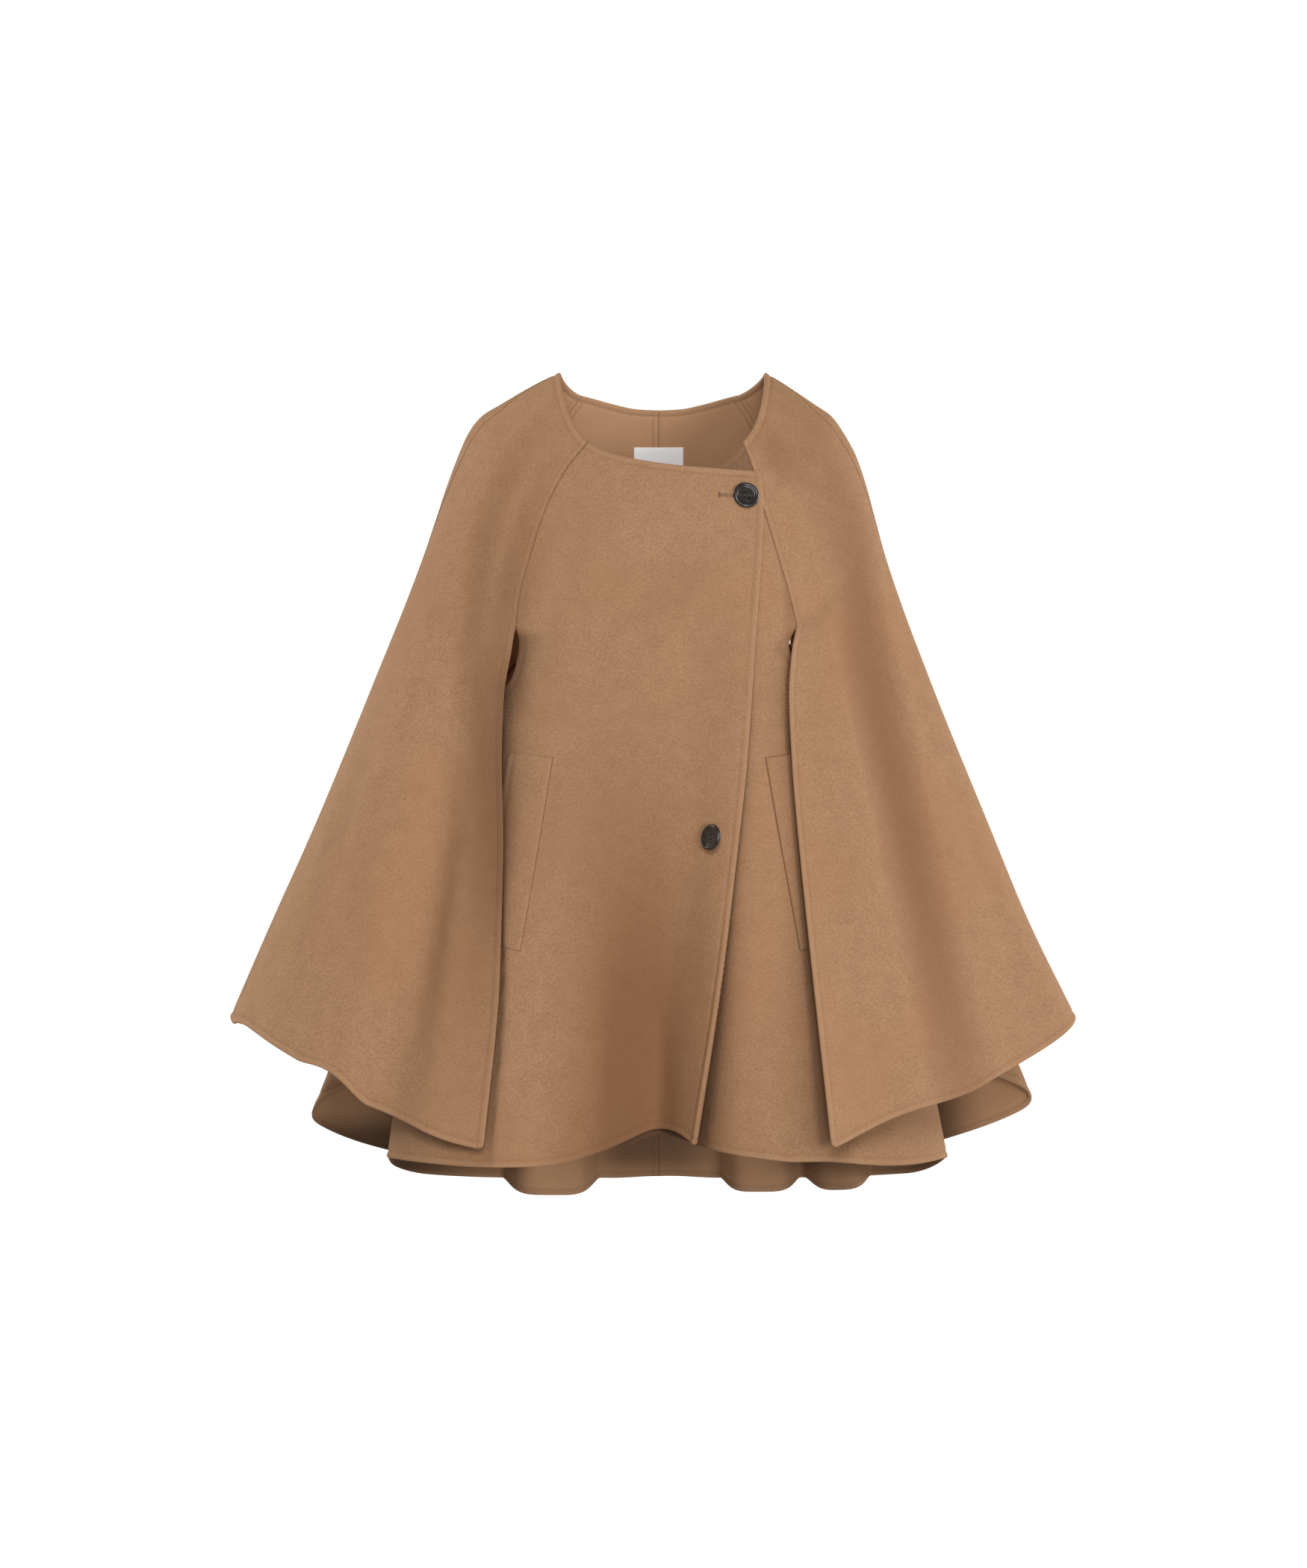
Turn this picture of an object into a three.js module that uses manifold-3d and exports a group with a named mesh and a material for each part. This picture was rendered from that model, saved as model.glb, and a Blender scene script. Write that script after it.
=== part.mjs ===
// A collarless wool cape: an A-line body that laps right over left, with raglan cape sleeves that hang
// open below the armholes. Millimetres, +Z up, front towards -Y, the wearer's left towards +X.
// The origin lies between the two shoulder points of the neckline, where the wearer's shoulders carry it.
import * as THREE from "three";
import { mergeVertices } from "three/addons/utils/BufferGeometryUtils.js";
import Module from "manifold-3d";

// Driving dimensions
const CLOTH = 2.4; // double-faced wool
const SEAM_GAP = 0.3;
const LAP_LIFT = CLOTH + 1.8; // the right front lies this far out, over the left front
const LAP_FADE = 0.84; // share of its width from which the lift fades towards the side
// Hidden edge of the left front
const UNDERLAP = { x: -36, topZ: -100, hemZ: -715, drop: 6, dropFrom: 0.25, dropTo: 0.45 };
const RAGLAN_SHARE = 0.28; // share of a sleeve's length that is sewn to the body
const SIDE_SEAM_SHARE = 0.4; // share of the body's outer edge that lies above the side seam
const UNDERARM_Z = -312; // top of the side seams
const SQUARENESS = 2.35; // of the body in plan: 2 is an ellipse
const BUTTON = { radius: 12, thick: 4.2, rim: 2.4, dish: 1.2, holeRadius: 1, holeReach: 2.6, shank: 1.5 };
const BUTTON_TOP = { x: 78, z: -123, stand: 0.6 };
const BUTTON_LOW = { x: 53, z: -434, stand: 6, turn: 27 }; // turn in degrees, on its thread shank
const BUTTONHOLE = { length: 25, width: 1.2, eyelet: 2.1, depth: 24 };
const WELT = { width: 37, rise: 6 }; // its open edge sits higher by the rise
const LABEL = { width: 48, height: 38, topZ: -61, thick: 1, hang: 1.2 }; // its foot hangs free
const COLUMNS = { front: 24, back: 28, sleeveFront: 14, sleeveBack: 20, welt: 5, label: 6 };
const TURNED_STEPS = 24; // round a button

// Body sections from the neck down: half widths, and depths to the front and the back
const BODY = [
  { z: 0, right: 108, left: 112, front: 56, back: 56 },
  { z: -60, right: 140, left: 142, front: 80, back: 84 },
  { z: -120, right: 158, left: 158, front: 98, back: 108 },
  { z: -200, right: 171, left: 170, front: 112, back: 121 },
  { z: -290, right: 184, left: 182, front: 122, back: 126 },
  { z: -410, right: 206, left: 206, front: 134, back: 133 },
  { z: -570, right: 232, left: 238, front: 150, back: 146 },
  { z: -780, right: 268, left: 279, front: 170, back: 163 },
];

// Folds of the body: where they run, in degrees round from the centre front, and their size at the hem.
// out and fore move the cloth outwards and forwards, lift raises the hem, each fold fades out at startZ,
// and a higher flat squares its top.
const BODY_FOLDS = [
  { deg: 2, half: 36, flat: 2, out: -38, fore: 0, lift: 22, startZ: -280 },
  { deg: 2, half: 24, flat: 2, out: -22, fore: 0, lift: 4, startZ: -360 },
  { deg: -19, half: 30, flat: 2, out: -12, fore: 0, lift: 0, startZ: -320 },
  { deg: -46, half: 32, flat: 2, out: 10, fore: 0, lift: -4, startZ: -380 },
  { deg: 36, half: 24, flat: 2, out: 7, fore: 0, lift: 1, startZ: -420 },
  { deg: 64, half: 20, flat: 2, out: -6, fore: 0, lift: -6, startZ: -480 },
  { deg: -86, half: 22, flat: 2, out: -7, fore: 0, lift: 0, startZ: -450 },
  { deg: -146.5, half: 13.5, flat: 5, out: 0, fore: 48, lift: -12, startZ: -390 },
  { deg: -112, half: 12, flat: 2, out: -8, fore: 0, lift: 0, startZ: -460 },
  { deg: 148, half: 11, flat: 5, out: 0, fore: 46, lift: -9, startZ: -400 },
  { deg: 128, half: 7.5, flat: 4, out: 0, fore: 34, lift: -9, startZ: -440 },
  { deg: 178, half: 18, flat: 2, out: 6, fore: 0, lift: 2, startZ: -430 },
];

// Height of the body's hem round the body, the same on both sides
const HEM = [
  { deg: 0, z: -724 },
  { deg: 55, z: -725 },
  { deg: 90, z: -735 },
  { deg: 112, z: -760 },
  { deg: 135, z: -769 },
  { deg: 180, z: -772 },
];

// Front neckline of the two fronts, and the edge of the right front
const NECK_RIGHT_FRONT = [
  { x: -66, z: -71 },
  { x: -50, z: -79 },
  { x: -24, z: -87 },
  { x: 20, z: -94 },
  { x: 95, z: -99 },
];
const NECK_LEFT_FRONT = [
  { x: -44, z: -102 },
  { x: 20, z: -100 },
  { x: 50, z: -94 },
  { x: 78, z: -72 },
];
const LAP_EDGE = [
  { z: -99, x: 91 },
  { z: -125, x: 93 },
  { z: -270, x: 85 },
  { z: -370, x: 78 },
  { z: -470, x: 68 },
  { z: -600, x: 55 },
  { z: -716, x: 41 },
];
// The lower part of that edge stands forward
const LAP_FLARE = { depth: 20, drop: 9, startZ: -200, fullZ: -560, deg: 19, past: 3 };
const NECK_BACK = [
  { x: 0, z: -27.5 },
  { x: 20, z: -26.5 },
  { x: 41, z: -22.5 },
  { x: 62, z: -17.5 },
  { x: 76, z: -14.5 },
];

// Sewn edges of the pocket welts, top and bottom
const WELT_SEAM = [
  { v: 0, z: -361, right: 93, left: 96 },
  { v: 1, z: -536, right: 120, left: 126 },
];

// Raglan seams: half widths at each height. The left sleeve of the wearer is on +X.
const RAGLAN_FRONT = [
  { z: -71, right: 65, left: 77 },
  { z: -95, right: 84, left: 86 },
  { z: -120, right: 98, left: 92 },
  { z: -150, right: 110, left: 101 },
  { z: -180, right: 119, left: 110 },
  { z: -210, right: 127, left: 119 },
  { z: -240, right: 131, left: 126 },
];
const RAGLAN_BACK = [
  { z: -15, right: 74, left: 75 },
  { z: -45, right: 94, left: 94 },
  { z: -90, right: 110, left: 110 },
  { z: -140, right: 122, left: 122 },
  { z: -180, right: 129, left: 129 },
  { z: -215, right: 132, left: 132 },
];

// Armholes of the body, from the end of the raglan seam (0) to the top of the side seam (1): how far they
// have fallen, and how far they have swung to the side in the two fronts and in the backs
const ARMHOLE = [
  { share: 0, fall: 0, right: 0, left: 0, back: 0 },
  { share: 0.25, fall: 0.28, right: -0.06, left: -0.1, back: -0.14 },
  { share: 0.5, fall: 0.62, right: -0.03, left: 0.05, back: 0.06 },
  { share: 0.75, fall: 0.9, right: 0.18, left: 0.42, back: 0.45 },
  { share: 1, fall: 1, right: 1, left: 1, back: 1 },
];

// Open edges of the sleeves below the raglan seams, and how far they stand off the body
const OPEN_FRONT = [
  { z: -240, right: 131, left: 126, off: 0 },
  { z: -247, right: 133, left: 125, off: 3.7 },
  { z: -262, right: 135.3, left: 122, off: 7.5 },
  { z: -305, right: 142.5, left: 119, off: 9.5 },
  { z: -360, right: 144, left: 121, off: 12.6 },
  { z: -450, right: 141, left: 128, off: 14.2 },
  { z: -550, right: 141, left: 137, off: 15 },
  { z: -712, right: 151, left: 152, off: 18 },
];
const OPEN_BACK = [
  { z: -215, right: 132, left: 132, off: 0 },
  { z: -222, right: 131.5, left: 131.5, off: 4.8 },
  { z: -237, right: 128.2, left: 128.2, off: 8.4 },
  { z: -310, right: 127, left: 127, off: 10 },
  { z: -450, right: 134, left: 134, off: 15 },
  { z: -600, right: 144, left: 144, off: 18 },
  { z: -766, right: 152, left: 152, off: 22 },
];

// Ridge of each sleeve, from the neckline over the shoulder to the outer corner of the hem
const RIDGE = [
  { v: 0, right: 92, left: 99, y: -2, z: 0 },
  { v: 0.04, right: 118, left: 120, y: 0, z: -12 },
  { v: 0.09, right: 148, left: 146, y: 2, z: -29 },
  { v: 0.12, right: 166, left: 162, y: 3, z: -40 },
  { v: 0.145, right: 178, left: 173, y: 4, z: -55 },
  { v: 0.18, right: 188, left: 185, y: 5, z: -77 },
  { v: 0.227, right: 199, left: 195, y: 6, z: -106 },
  { v: 0.324, right: 220, left: 212, y: 8, z: -170 },
  { v: 0.505, right: 266, left: 254, y: 10, z: -285 },
  { v: 0.727, right: 324, left: 311, y: 12, z: -425 },
  { v: 0.86, right: 363, left: 347, y: 12, z: -512 },
  { v: 1, right: 403, left: 392, y: 12, z: -604 },
];

// How a sleeve falls: share of the chord in the direction it leaves the body, at the neck and at the hem,
// the length of its curve's handles, and its roundness over the arm, less round and sunk from lowFrom down
const SLEEVE_FALL = {
  chordNeck: 0.65,
  chordHem: 0.4,
  handle: 0.38,
  roundTop: 0.52,
  roundHem: 0.32,
  lowFrom: 0.35,
  sink: 0.12,
};

// The seam over the arm, as a share of the front's width forward of the ridge
const ARM_SEAM = [
  { v: 0, forward: 0.04 },
  { v: 0.06, forward: 0.14 },
  { v: 0.12, forward: 0.22 },
  { v: 0.2, forward: 0.18 },
  { v: 0.3, forward: 0.06 },
  { v: 0.45, forward: 0 },
  { v: 1, forward: -0.02 },
];

// Folds of the sleeves: place along the front (edge to ridge) or the back (ridge to edge), and at the hem
// how far the cloth moves outwards, forwards and down. Each fades out at share v of the length.
const SLEEVE_FOLDS = {
  right: {
    front: [
      { at: 0.13, half: 0.13, flat: 2, out: 0, fore: 10, drop: 0, v: 0.5 },
      { at: 0.29, half: 0.2, flat: 2, out: 0, fore: 0, drop: -3, v: 0.35 },
      { at: 0.62, half: 0.3, flat: 4, out: 0, fore: 0, drop: -15, v: 0.45 },
      { at: 0.43, half: 0.11, flat: 2, out: 0, fore: -3, drop: -7, v: 0.7 },
    ],
    back: [
      { at: 0.33, half: 0.28, flat: 2, out: -88, fore: 6, drop: 0, v: 0.4 },
      { at: 0.6, half: 0.24, flat: 2, out: 42, fore: 0, drop: 5, v: 0.45 },
      { at: 0.8, half: 0.3, flat: 2, out: 0, fore: -20, drop: 10, v: 0.45 },
    ],
  },
  left: {
    front: [
      { at: 0.2, half: 0.25, flat: 2, out: 0, fore: 0, drop: -11.5, v: 0.4 },
      { at: 0.5, half: 0.24, flat: 2, out: 0, fore: 0, drop: -2, v: 0.35 },
    ],
    back: [
      { at: 0.3, half: 0.26, flat: 2, out: -66, fore: 6, drop: 0, v: 0.4 },
      { at: 0.54, half: 0.24, flat: 2, out: 72, fore: 0, drop: -4, v: 0.35 },
      { at: 0.75, half: 0.32, flat: 2, out: 0, fore: -27, drop: 13, v: 0.42 },
    ],
  },
};

// Long soft waves of the sleeves' fronts: place, half width, how far forward, and between which v they grow
const SLEEVE_WAVES = {
  right: [
    { at: 0.17, half: 0.12, fore: -2.5, v: 0.14, full: 0.4 },
    { at: 0.28, half: 0.14, fore: -8, v: 0.35, full: 0.8 },
    { at: 0.6, half: 0.36, fore: 32, v: 0.16, full: 0.6 },
  ],
  left: [
    { at: 0, half: 0.2, fore: 9, v: 0.55, full: 0.95 },
    { at: 0.3, half: 0.28, fore: 16, v: 0.15, full: 0.6 },
    { at: 0.86, half: 0.18, fore: 8, v: 0.25, full: 0.7 },
  ],
};

// Rows from the neckline to the hem, shared by all panels so that their seams meet point for point
const ROWS = [
  0, 0.04, 0.08, 0.12, 0.16, 0.2, 0.24, 0.28, 0.31, 0.34, 0.37, 0.4,
  0.47, 0.55, 0.63, 0.71, 0.79, 0.87, 0.94, 1,
];

const { lerp, clamp, degToRad, smoothstep } = THREE.MathUtils;
const SIDES = { right: -1, left: 1 }; // the wearer's sides along X

// Value of a table's column at a key, on a cubic through its rows that never overshoots them
function along(table, key, column, at) {
  const sign = table[0][key] > table[table.length - 1][key] ? -1 : 1;
  const next = table.findIndex((row) => sign * row[key] > sign * at);
  const i = clamp((next < 0 ? table.length : next) - 1, 0, table.length - 2);
  const slope = (a) => (table[a + 1][column] - table[a][column]) / (table[a + 1][key] - table[a][key]);
  const meet = (a, b) => (a * b <= 0 ? 0 : (2 * a * b) / (a + b));
  const here = slope(i);
  const start = i > 0 ? meet(slope(i - 1), here) : here;
  const end = i < table.length - 2 ? meet(here, slope(i + 1)) : here;
  const span = table[i + 1][key] - table[i][key];
  const t = clamp((at - table[i][key]) / span, 0, 1);
  const ease = t * t * (3 - 2 * t);
  const bend = t * (1 - t) * (1 - t) * span * start - t * t * (1 - t) * span * end;
  return lerp(table[i][column], table[i + 1][column], ease) + bend;
}

// Soft bump: 1 at its middle, 0 from one half width on
const bump = (t, flat = 2) => (Math.abs(t) < 1 ? (1 - Math.abs(t) ** flat) ** 2 : 0);

// Share of a fold's full size: none at its start, all at the hem
const growth = (share) => clamp(share, 0, 1) ** 1.4;

// Degrees from one bearing to another, the short way round
const degreesBetween = (a, b) => ((a - b + 900) % 360) - 180;

// Height of the hem at a bearing, with the lift of the folds there
const plainHem = (deg) => along(HEM, "deg", "z", Math.abs(degreesBetween(deg, 0)));
const hemHeight = (deg) =>
  BODY_FOLDS.reduce((z, f) => z + f.lift * bump(degreesBetween(deg, f.deg) / f.half, f.flat), plainHem(deg));

// Bearing of the point of a body section that lies at x, on its front or its back
function bearingAt(x, z, atBack = false) {
  const half = along(BODY, "z", x < 0 ? "right" : "left", z);
  const depth = along(BODY, "z", atBack ? "back" : "front", z);
  const share = clamp(Math.abs(x) / half, 0, 1);
  const y = depth * (1 - share ** SQUARENESS) ** (1 / SQUARENESS);
  const deg = (Math.atan2(Math.abs(x), y) * 180) / Math.PI;
  return (x < 0 ? -1 : 1) * (atBack ? 180 - deg : deg);
}

// Point on the body's outer face at a bearing and a height, moved out by a distance
function bodyPoint(deg, z, out = 0) {
  const angle = degToRad(deg);
  const [s, c] = [Math.sin(angle), Math.cos(angle)];
  const half = along(BODY, "z", s < 0 ? "right" : "left", z);
  const depth = along(BODY, "z", c < 0 ? "back" : "front", z);
  const sum = (Math.abs(s) / half) ** SQUARENESS + (Math.abs(c) / depth) ** SQUARENESS;
  let radius = out + sum ** (-1 / SQUARENESS);
  let fore = 0;
  for (const fold of BODY_FOLDS) {
    const share = (fold.startZ - z) / (fold.startZ - plainHem(fold.deg));
    const size = bump(degreesBetween(deg, fold.deg) / fold.half, fold.flat) * growth(share);
    radius += fold.out * size;
    fore += fold.fore * size;
  }
  return new THREE.Vector3(radius * s, -radius * c - fore, z);
}

// Outward normal of the body's face at a bearing and a height
function bodyNormal(deg, z) {
  const across = bodyPoint(deg + 0.1, z).sub(bodyPoint(deg - 0.1, z));
  const down = bodyPoint(deg, z - 0.5).sub(bodyPoint(deg, z + 0.5));
  return down.cross(across).normalize();
}

// Bearing and height along the outer edge of a front or a back: raglan seam, armhole, then side seam
function outerEdge(side, atBack, v) {
  const raglan = atBack ? RAGLAN_BACK : RAGLAN_FRONT;
  const last = raglan[raglan.length - 1];
  const sideDeg = 90 * SIDES[side];
  if (v <= RAGLAN_SHARE) {
    const z = lerp(raglan[0].z, last.z, v / RAGLAN_SHARE);
    return { deg: bearingAt(SIDES[side] * along(raglan, "z", side, z), z, atBack), z };
  }
  if (v <= SIDE_SEAM_SHARE) {
    const share = (v - RAGLAN_SHARE) / (SIDE_SEAM_SHARE - RAGLAN_SHARE);
    const lastDeg = bearingAt(SIDES[side] * last[side], last.z, atBack);
    const deg = lerp(lastDeg, sideDeg, along(ARMHOLE, "share", atBack ? "back" : side, share));
    return { deg, z: lerp(last.z, UNDERARM_Z, along(ARMHOLE, "share", "fall", share)) };
  }
  const w = (v - SIDE_SEAM_SHARE) / (1 - SIDE_SEAM_SHARE);
  return { deg: sideDeg, z: lerp(UNDERARM_Z, hemHeight(sideDeg), w) };
}

// Face of a body panel. u runs from its inner edge, at bearing innerDeg(v), to its outer edge, and v from
// the neckline, at height neckZ(x), to the hem. out(place) is its distance from the body's face.
function bodyFace({ side, atBack, innerDeg, neckZ, out }) {
  const topDeg = innerDeg(0);
  const topZ = neckZ(bodyPoint(topDeg, neckZ(0)).x);
  const [topEdge, hemEdge] = [outerEdge(side, atBack, 0), outerEdge(side, atBack, 1)];
  const hemDeg = innerDeg(1);
  const hemZ = hemHeight(hemDeg);
  return (u, v) => {
    const edge = outerEdge(side, atBack, v);
    const evenDeg = lerp(topEdge.deg, hemEdge.deg, smoothstep(v, 0.1, 0.75));
    const evenZ = lerp(topEdge.z, hemEdge.z, v);
    const neckLine = lerp(topZ, topEdge.z, u);
    const neck = neckZ(bodyPoint(lerp(topDeg, topEdge.deg, u), neckLine).x) - neckLine;
    const hem = hemHeight(lerp(hemDeg, hemEdge.deg, u)) - lerp(hemZ, hemEdge.z, u);
    const shape = neck * (1 - v) ** 6 + hem * v ** 3 + (edge.z - evenZ) * u ** 6;
    const z = lerp(lerp(topZ, hemZ, v), evenZ, u) + shape;
    const deg = lerp(innerDeg(v), evenDeg, u) + (edge.deg - evenDeg) * u ** 6;
    return out({ deg, z, u, v });
  };
}

// Point of a cubic curve through its ends a and d
function curvePoint(a, b, c, d, t) {
  const s = 1 - t;
  return new THREE.Vector3()
    .addScaledVector(a, s * s * s)
    .addScaledVector(b, 3 * s * s * t)
    .addScaledVector(c, 3 * s * t * t)
    .addScaledVector(d, t * t * t);
}

// Edge of a sleeve: on the raglan seam, then standing off the body as it hangs open
function sleeveEdge(side, atBack, v) {
  const raglan = atBack ? RAGLAN_BACK : RAGLAN_FRONT;
  const open = atBack ? OPEN_BACK : OPEN_FRONT;
  if (v <= RAGLAN_SHARE) {
    const { deg, z } = outerEdge(side, atBack, v);
    return { point: bodyPoint(deg, z), deg, z, off: 0 };
  }
  const share = (v - RAGLAN_SHARE) / (1 - RAGLAN_SHARE);
  const z = lerp(raglan[raglan.length - 1].z, open[open.length - 1].z, share);
  const deg = bearingAt(SIDES[side] * along(open, "z", side, z), z, atBack);
  return { point: bodyPoint(deg, z), deg, z, off: (atBack ? 1 : -1) * along(open, "z", "off", z) };
}

// Face of a sleeve. q runs from the front edge (0) over the ridge (1) to the back edge (2), v from the
// neckline to the hem. Each half is a cubic that leaves the body along its face and crosses the ridge
// squarely.
function sleevePoint(side, q, v) {
  const sign = SIDES[side];
  const ridge = new THREE.Vector3(
    sign * along(RIDGE, "v", side, v),
    along(RIDGE, "v", "y", v),
    along(RIDGE, "v", "z", v),
  );
  const atBack = q > 1;
  const t = atBack ? 2 - q : q; // from the edge to the ridge
  const { point: edge, deg, z, off } = sleeveEdge(side, atBack, v);
  const chord = ridge.clone().sub(edge);
  const length = chord.length();
  const step = sign * (atBack ? -0.5 : 0.5);
  const leave = bodyPoint(deg + step, z).sub(bodyPoint(deg - step, z)).normalize();
  const { chordNeck, chordHem, handle, roundTop, roundHem, lowFrom, sink } = SLEEVE_FALL;
  leave.lerp(chord.clone().normalize(), lerp(chordNeck, chordHem, v)).normalize();
  const low = smoothstep(v, lowFrom, 1);
  const reach = lerp(roundTop, roundHem, low) * (edge.y - ridge.y);
  const near = edge.clone().addScaledVector(leave, handle * length);
  const over = ridge.clone().add(new THREE.Vector3(0, reach, sink * low * (edge.z - ridge.z)));
  const point = curvePoint(edge, near, over, ridge, t);
  point.y += off * clamp(1 - t, 0, 1) ** (atBack ? 1 : 3);
  for (const fold of SLEEVE_FOLDS[side][atBack ? "back" : "front"]) {
    const reached = bump(((atBack ? q - 1 : q) - fold.at) / fold.half, fold.flat);
    const size = reached * growth((v - fold.v) / (1 - fold.v));
    point.add(new THREE.Vector3(sign * fold.out * size, -fold.fore * size, -fold.drop * size));
  }
  for (const wave of atBack ? [] : SLEEVE_WAVES[side]) {
    point.y -= wave.fore * bump((q - wave.at) / wave.half, 2) * growth((v - wave.v) / (wave.full - wave.v));
  }
  return point;
}

// Outward normal of a face, by small steps; facing is 1 or -1
function faceNormal(face, u, v, facing) {
  const step = 2e-3;
  const across = face(u + step, v).sub(face(u - step, v));
  const down = face(u, Math.min(v + step, 1)).sub(face(u, Math.max(v - step, 0)));
  return across.cross(down).multiplyScalar(facing).normalize();
}

// Grid of points over a face, held off the seams along its first and last columns
function gridOver(face, facing, { columns, rows = ROWS, first = 0, last = 0, normalAt }) {
  const step = 2e-3;
  return rows.map((v) => {
    const speed = (u) => face(u + step, v).distanceTo(face(u - step, v)) / (2 * step);
    const from = first / speed(0);
    const to = 1 - last / speed(1);
    return Array.from({ length: columns + 1 }, (_, i) => {
      const u = lerp(from, to, i / columns);
      const point = face(u, v);
      const normal = normalAt?.(i / columns, v) ?? faceNormal(face, u, v, facing);
      return { point, normal };
    });
  });
}

// Closed wall over a grid, from the distance outer to the distance inner along its normals
function wall(grid, outer = 0, inner = -CLOTH) {
  const [rows, columns] = [grid.length, grid[0].length];
  const at = (node, distance) => node.point.clone().addScaledVector(node.normal, distance);
  const points = [];
  for (const distance of [outer, inner]) {
    for (const row of grid) points.push(...row.map((node) => at(node, distance)));
  }
  const id = (layer, j, i) => layer * rows * columns + j * columns + i;
  const faces = [];
  const quad = (a, b, c, d) => faces.push(a, b, c, a, c, d);
  for (let j = 0; j + 1 < rows; j++) {
    for (let i = 0; i + 1 < columns; i++) {
      quad(id(0, j, i), id(0, j + 1, i), id(0, j + 1, i + 1), id(0, j, i + 1));
      quad(id(1, j, i), id(1, j, i + 1), id(1, j + 1, i + 1), id(1, j + 1, i));
    }
    quad(id(0, j, 0), id(1, j, 0), id(1, j + 1, 0), id(0, j + 1, 0));
    const e = columns - 1;
    quad(id(0, j, e), id(0, j + 1, e), id(1, j + 1, e), id(1, j, e));
  }
  for (let i = 0; i + 1 < columns; i++) {
    quad(id(0, 0, i), id(0, 0, i + 1), id(1, 0, i + 1), id(1, 0, i));
    const e = rows - 1;
    quad(id(0, e, i), id(1, e, i), id(1, e, i + 1), id(0, e, i + 1));
  }
  const geometry = new THREE.BufferGeometry().setFromPoints(points);
  geometry.setIndex(faces);
  if (volumeOf(geometry) < 0) {
    for (let k = 0; k < faces.length; k += 3) [faces[k], faces[k + 1]] = [faces[k + 1], faces[k]];
    geometry.setIndex(faces);
  }
  return geometry;
}

// Signed volume enclosed by a geometry
function volumeOf(geometry) {
  const position = geometry.attributes.position;
  const [a, b, c] = [new THREE.Vector3(), new THREE.Vector3(), new THREE.Vector3()];
  let sum = 0;
  for (let k = 0; k < geometry.index.count; k += 3) {
    a.fromBufferAttribute(position, geometry.index.getX(k));
    b.fromBufferAttribute(position, geometry.index.getX(k + 1));
    c.fromBufferAttribute(position, geometry.index.getX(k + 2));
    sum += a.dot(b.cross(c)) / 6;
  }
  return sum;
}

// The right front: lifted over the left one, its lower edge standing forward
const lapHemZ = LAP_EDGE[LAP_EDGE.length - 1].z;
const lapDeg = (z) => bearingAt(along(LAP_EDGE, "z", "x", z), z);
function lapPoint(deg, z, lift = LAP_LIFT) {
  const edgeDeg = lapDeg(z);
  const near = smoothstep(deg, edgeDeg - LAP_FLARE.deg, edgeDeg + LAP_FLARE.past);
  const point = bodyPoint(deg, z, lift);
  point.y -= LAP_FLARE.depth * near * smoothstep(-z, -LAP_FLARE.startZ, -LAP_FLARE.fullZ);
  point.z -= LAP_FLARE.drop * near ** 5 * smoothstep(-z, -LAP_FLARE.fullZ, -lapHemZ);
  return point;
}
const rightFrontFace = bodyFace({
  side: "right",
  atBack: false,
  innerDeg: (v) => lapDeg(lerp(LAP_EDGE[0].z, lapHemZ, v)),
  neckZ: (x) => along(NECK_RIGHT_FRONT, "x", "z", x),
  out: ({ deg, z, u }) => lapPoint(deg, z, LAP_LIFT * (1 - smoothstep(u, LAP_FADE, 1))),
});

// The left front: on the body's face, its edge hidden below the right one
const leftFrontFace = bodyFace({
  side: "left",
  atBack: false,
  innerDeg: (v) => bearingAt(UNDERLAP.x, lerp(UNDERLAP.topZ, UNDERLAP.hemZ, v)),
  neckZ: (x) => along(NECK_LEFT_FRONT, "x", "z", x),
  out: ({ deg, z, u, v }) => {
    const under = 1 - smoothstep(u, UNDERLAP.dropFrom, UNDERLAP.dropTo);
    return bodyPoint(deg, z - UNDERLAP.drop * under * v ** 4);
  },
});

// The two backs, from the centre back seam to the side seams
const backFace = (side) =>
  bodyFace({
    side,
    atBack: true,
    innerDeg: () => 180 * SIDES[side],
    neckZ: (x) => along(NECK_BACK, "x", "z", Math.abs(x)),
    out: ({ deg, z }) => bodyPoint(deg, z),
  });

// The two pieces of a sleeve, on either side of the seam that runs over the arm
const seamAt = (v) => 1 - along(ARM_SEAM, "v", "forward", v);
const sleeveFrontFace = (side) => (u, v) => sleevePoint(side, u * seamAt(v), v);
const sleeveBackFace = (side) => (u, v) => sleevePoint(side, lerp(2, seamAt(v), u), v);

// Normals shared by the pieces that meet at a seam
function sleeveNormal(side, atBack) {
  const facing = SIDES[side] * (atBack ? 1 : -1);
  const [front, back] = [sleeveFrontFace(side), sleeveBackFace(side)];
  return (share, v) => {
    if (share === 1) {
      const sum = faceNormal(front, 0.998, v, -SIDES[side]).add(faceNormal(back, 0.998, v, SIDES[side]));
      return sum.normalize();
    }
    const edge = sleeveEdge(side, atBack, v);
    const own = faceNormal(atBack ? back : front, 0.002, v, facing);
    if (share > 0) return null;
    const free = smoothstep(v, RAGLAN_SHARE, RAGLAN_SHARE + 0.1);
    return bodyNormal(edge.deg, edge.z).lerp(own, free).normalize();
  };
}

// Face of a pocket welt on a front: u from its sewn edge to its open one, v from its top to its bottom
const weltFace = (side) => (u, v) => {
  const z = along(WELT_SEAM, "v", "z", v);
  const deg = bearingAt(SIDES[side] * along(WELT_SEAM, "v", side, v), z);
  const radius = bodyPoint(deg, z).setZ(0).length();
  const turn = ((WELT.width * u) / radius) * (180 / Math.PI) * SIDES[side];
  return bodyPoint(deg + turn, z + WELT.rise * u, side === "right" ? LAP_LIFT : 0);
};

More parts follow.
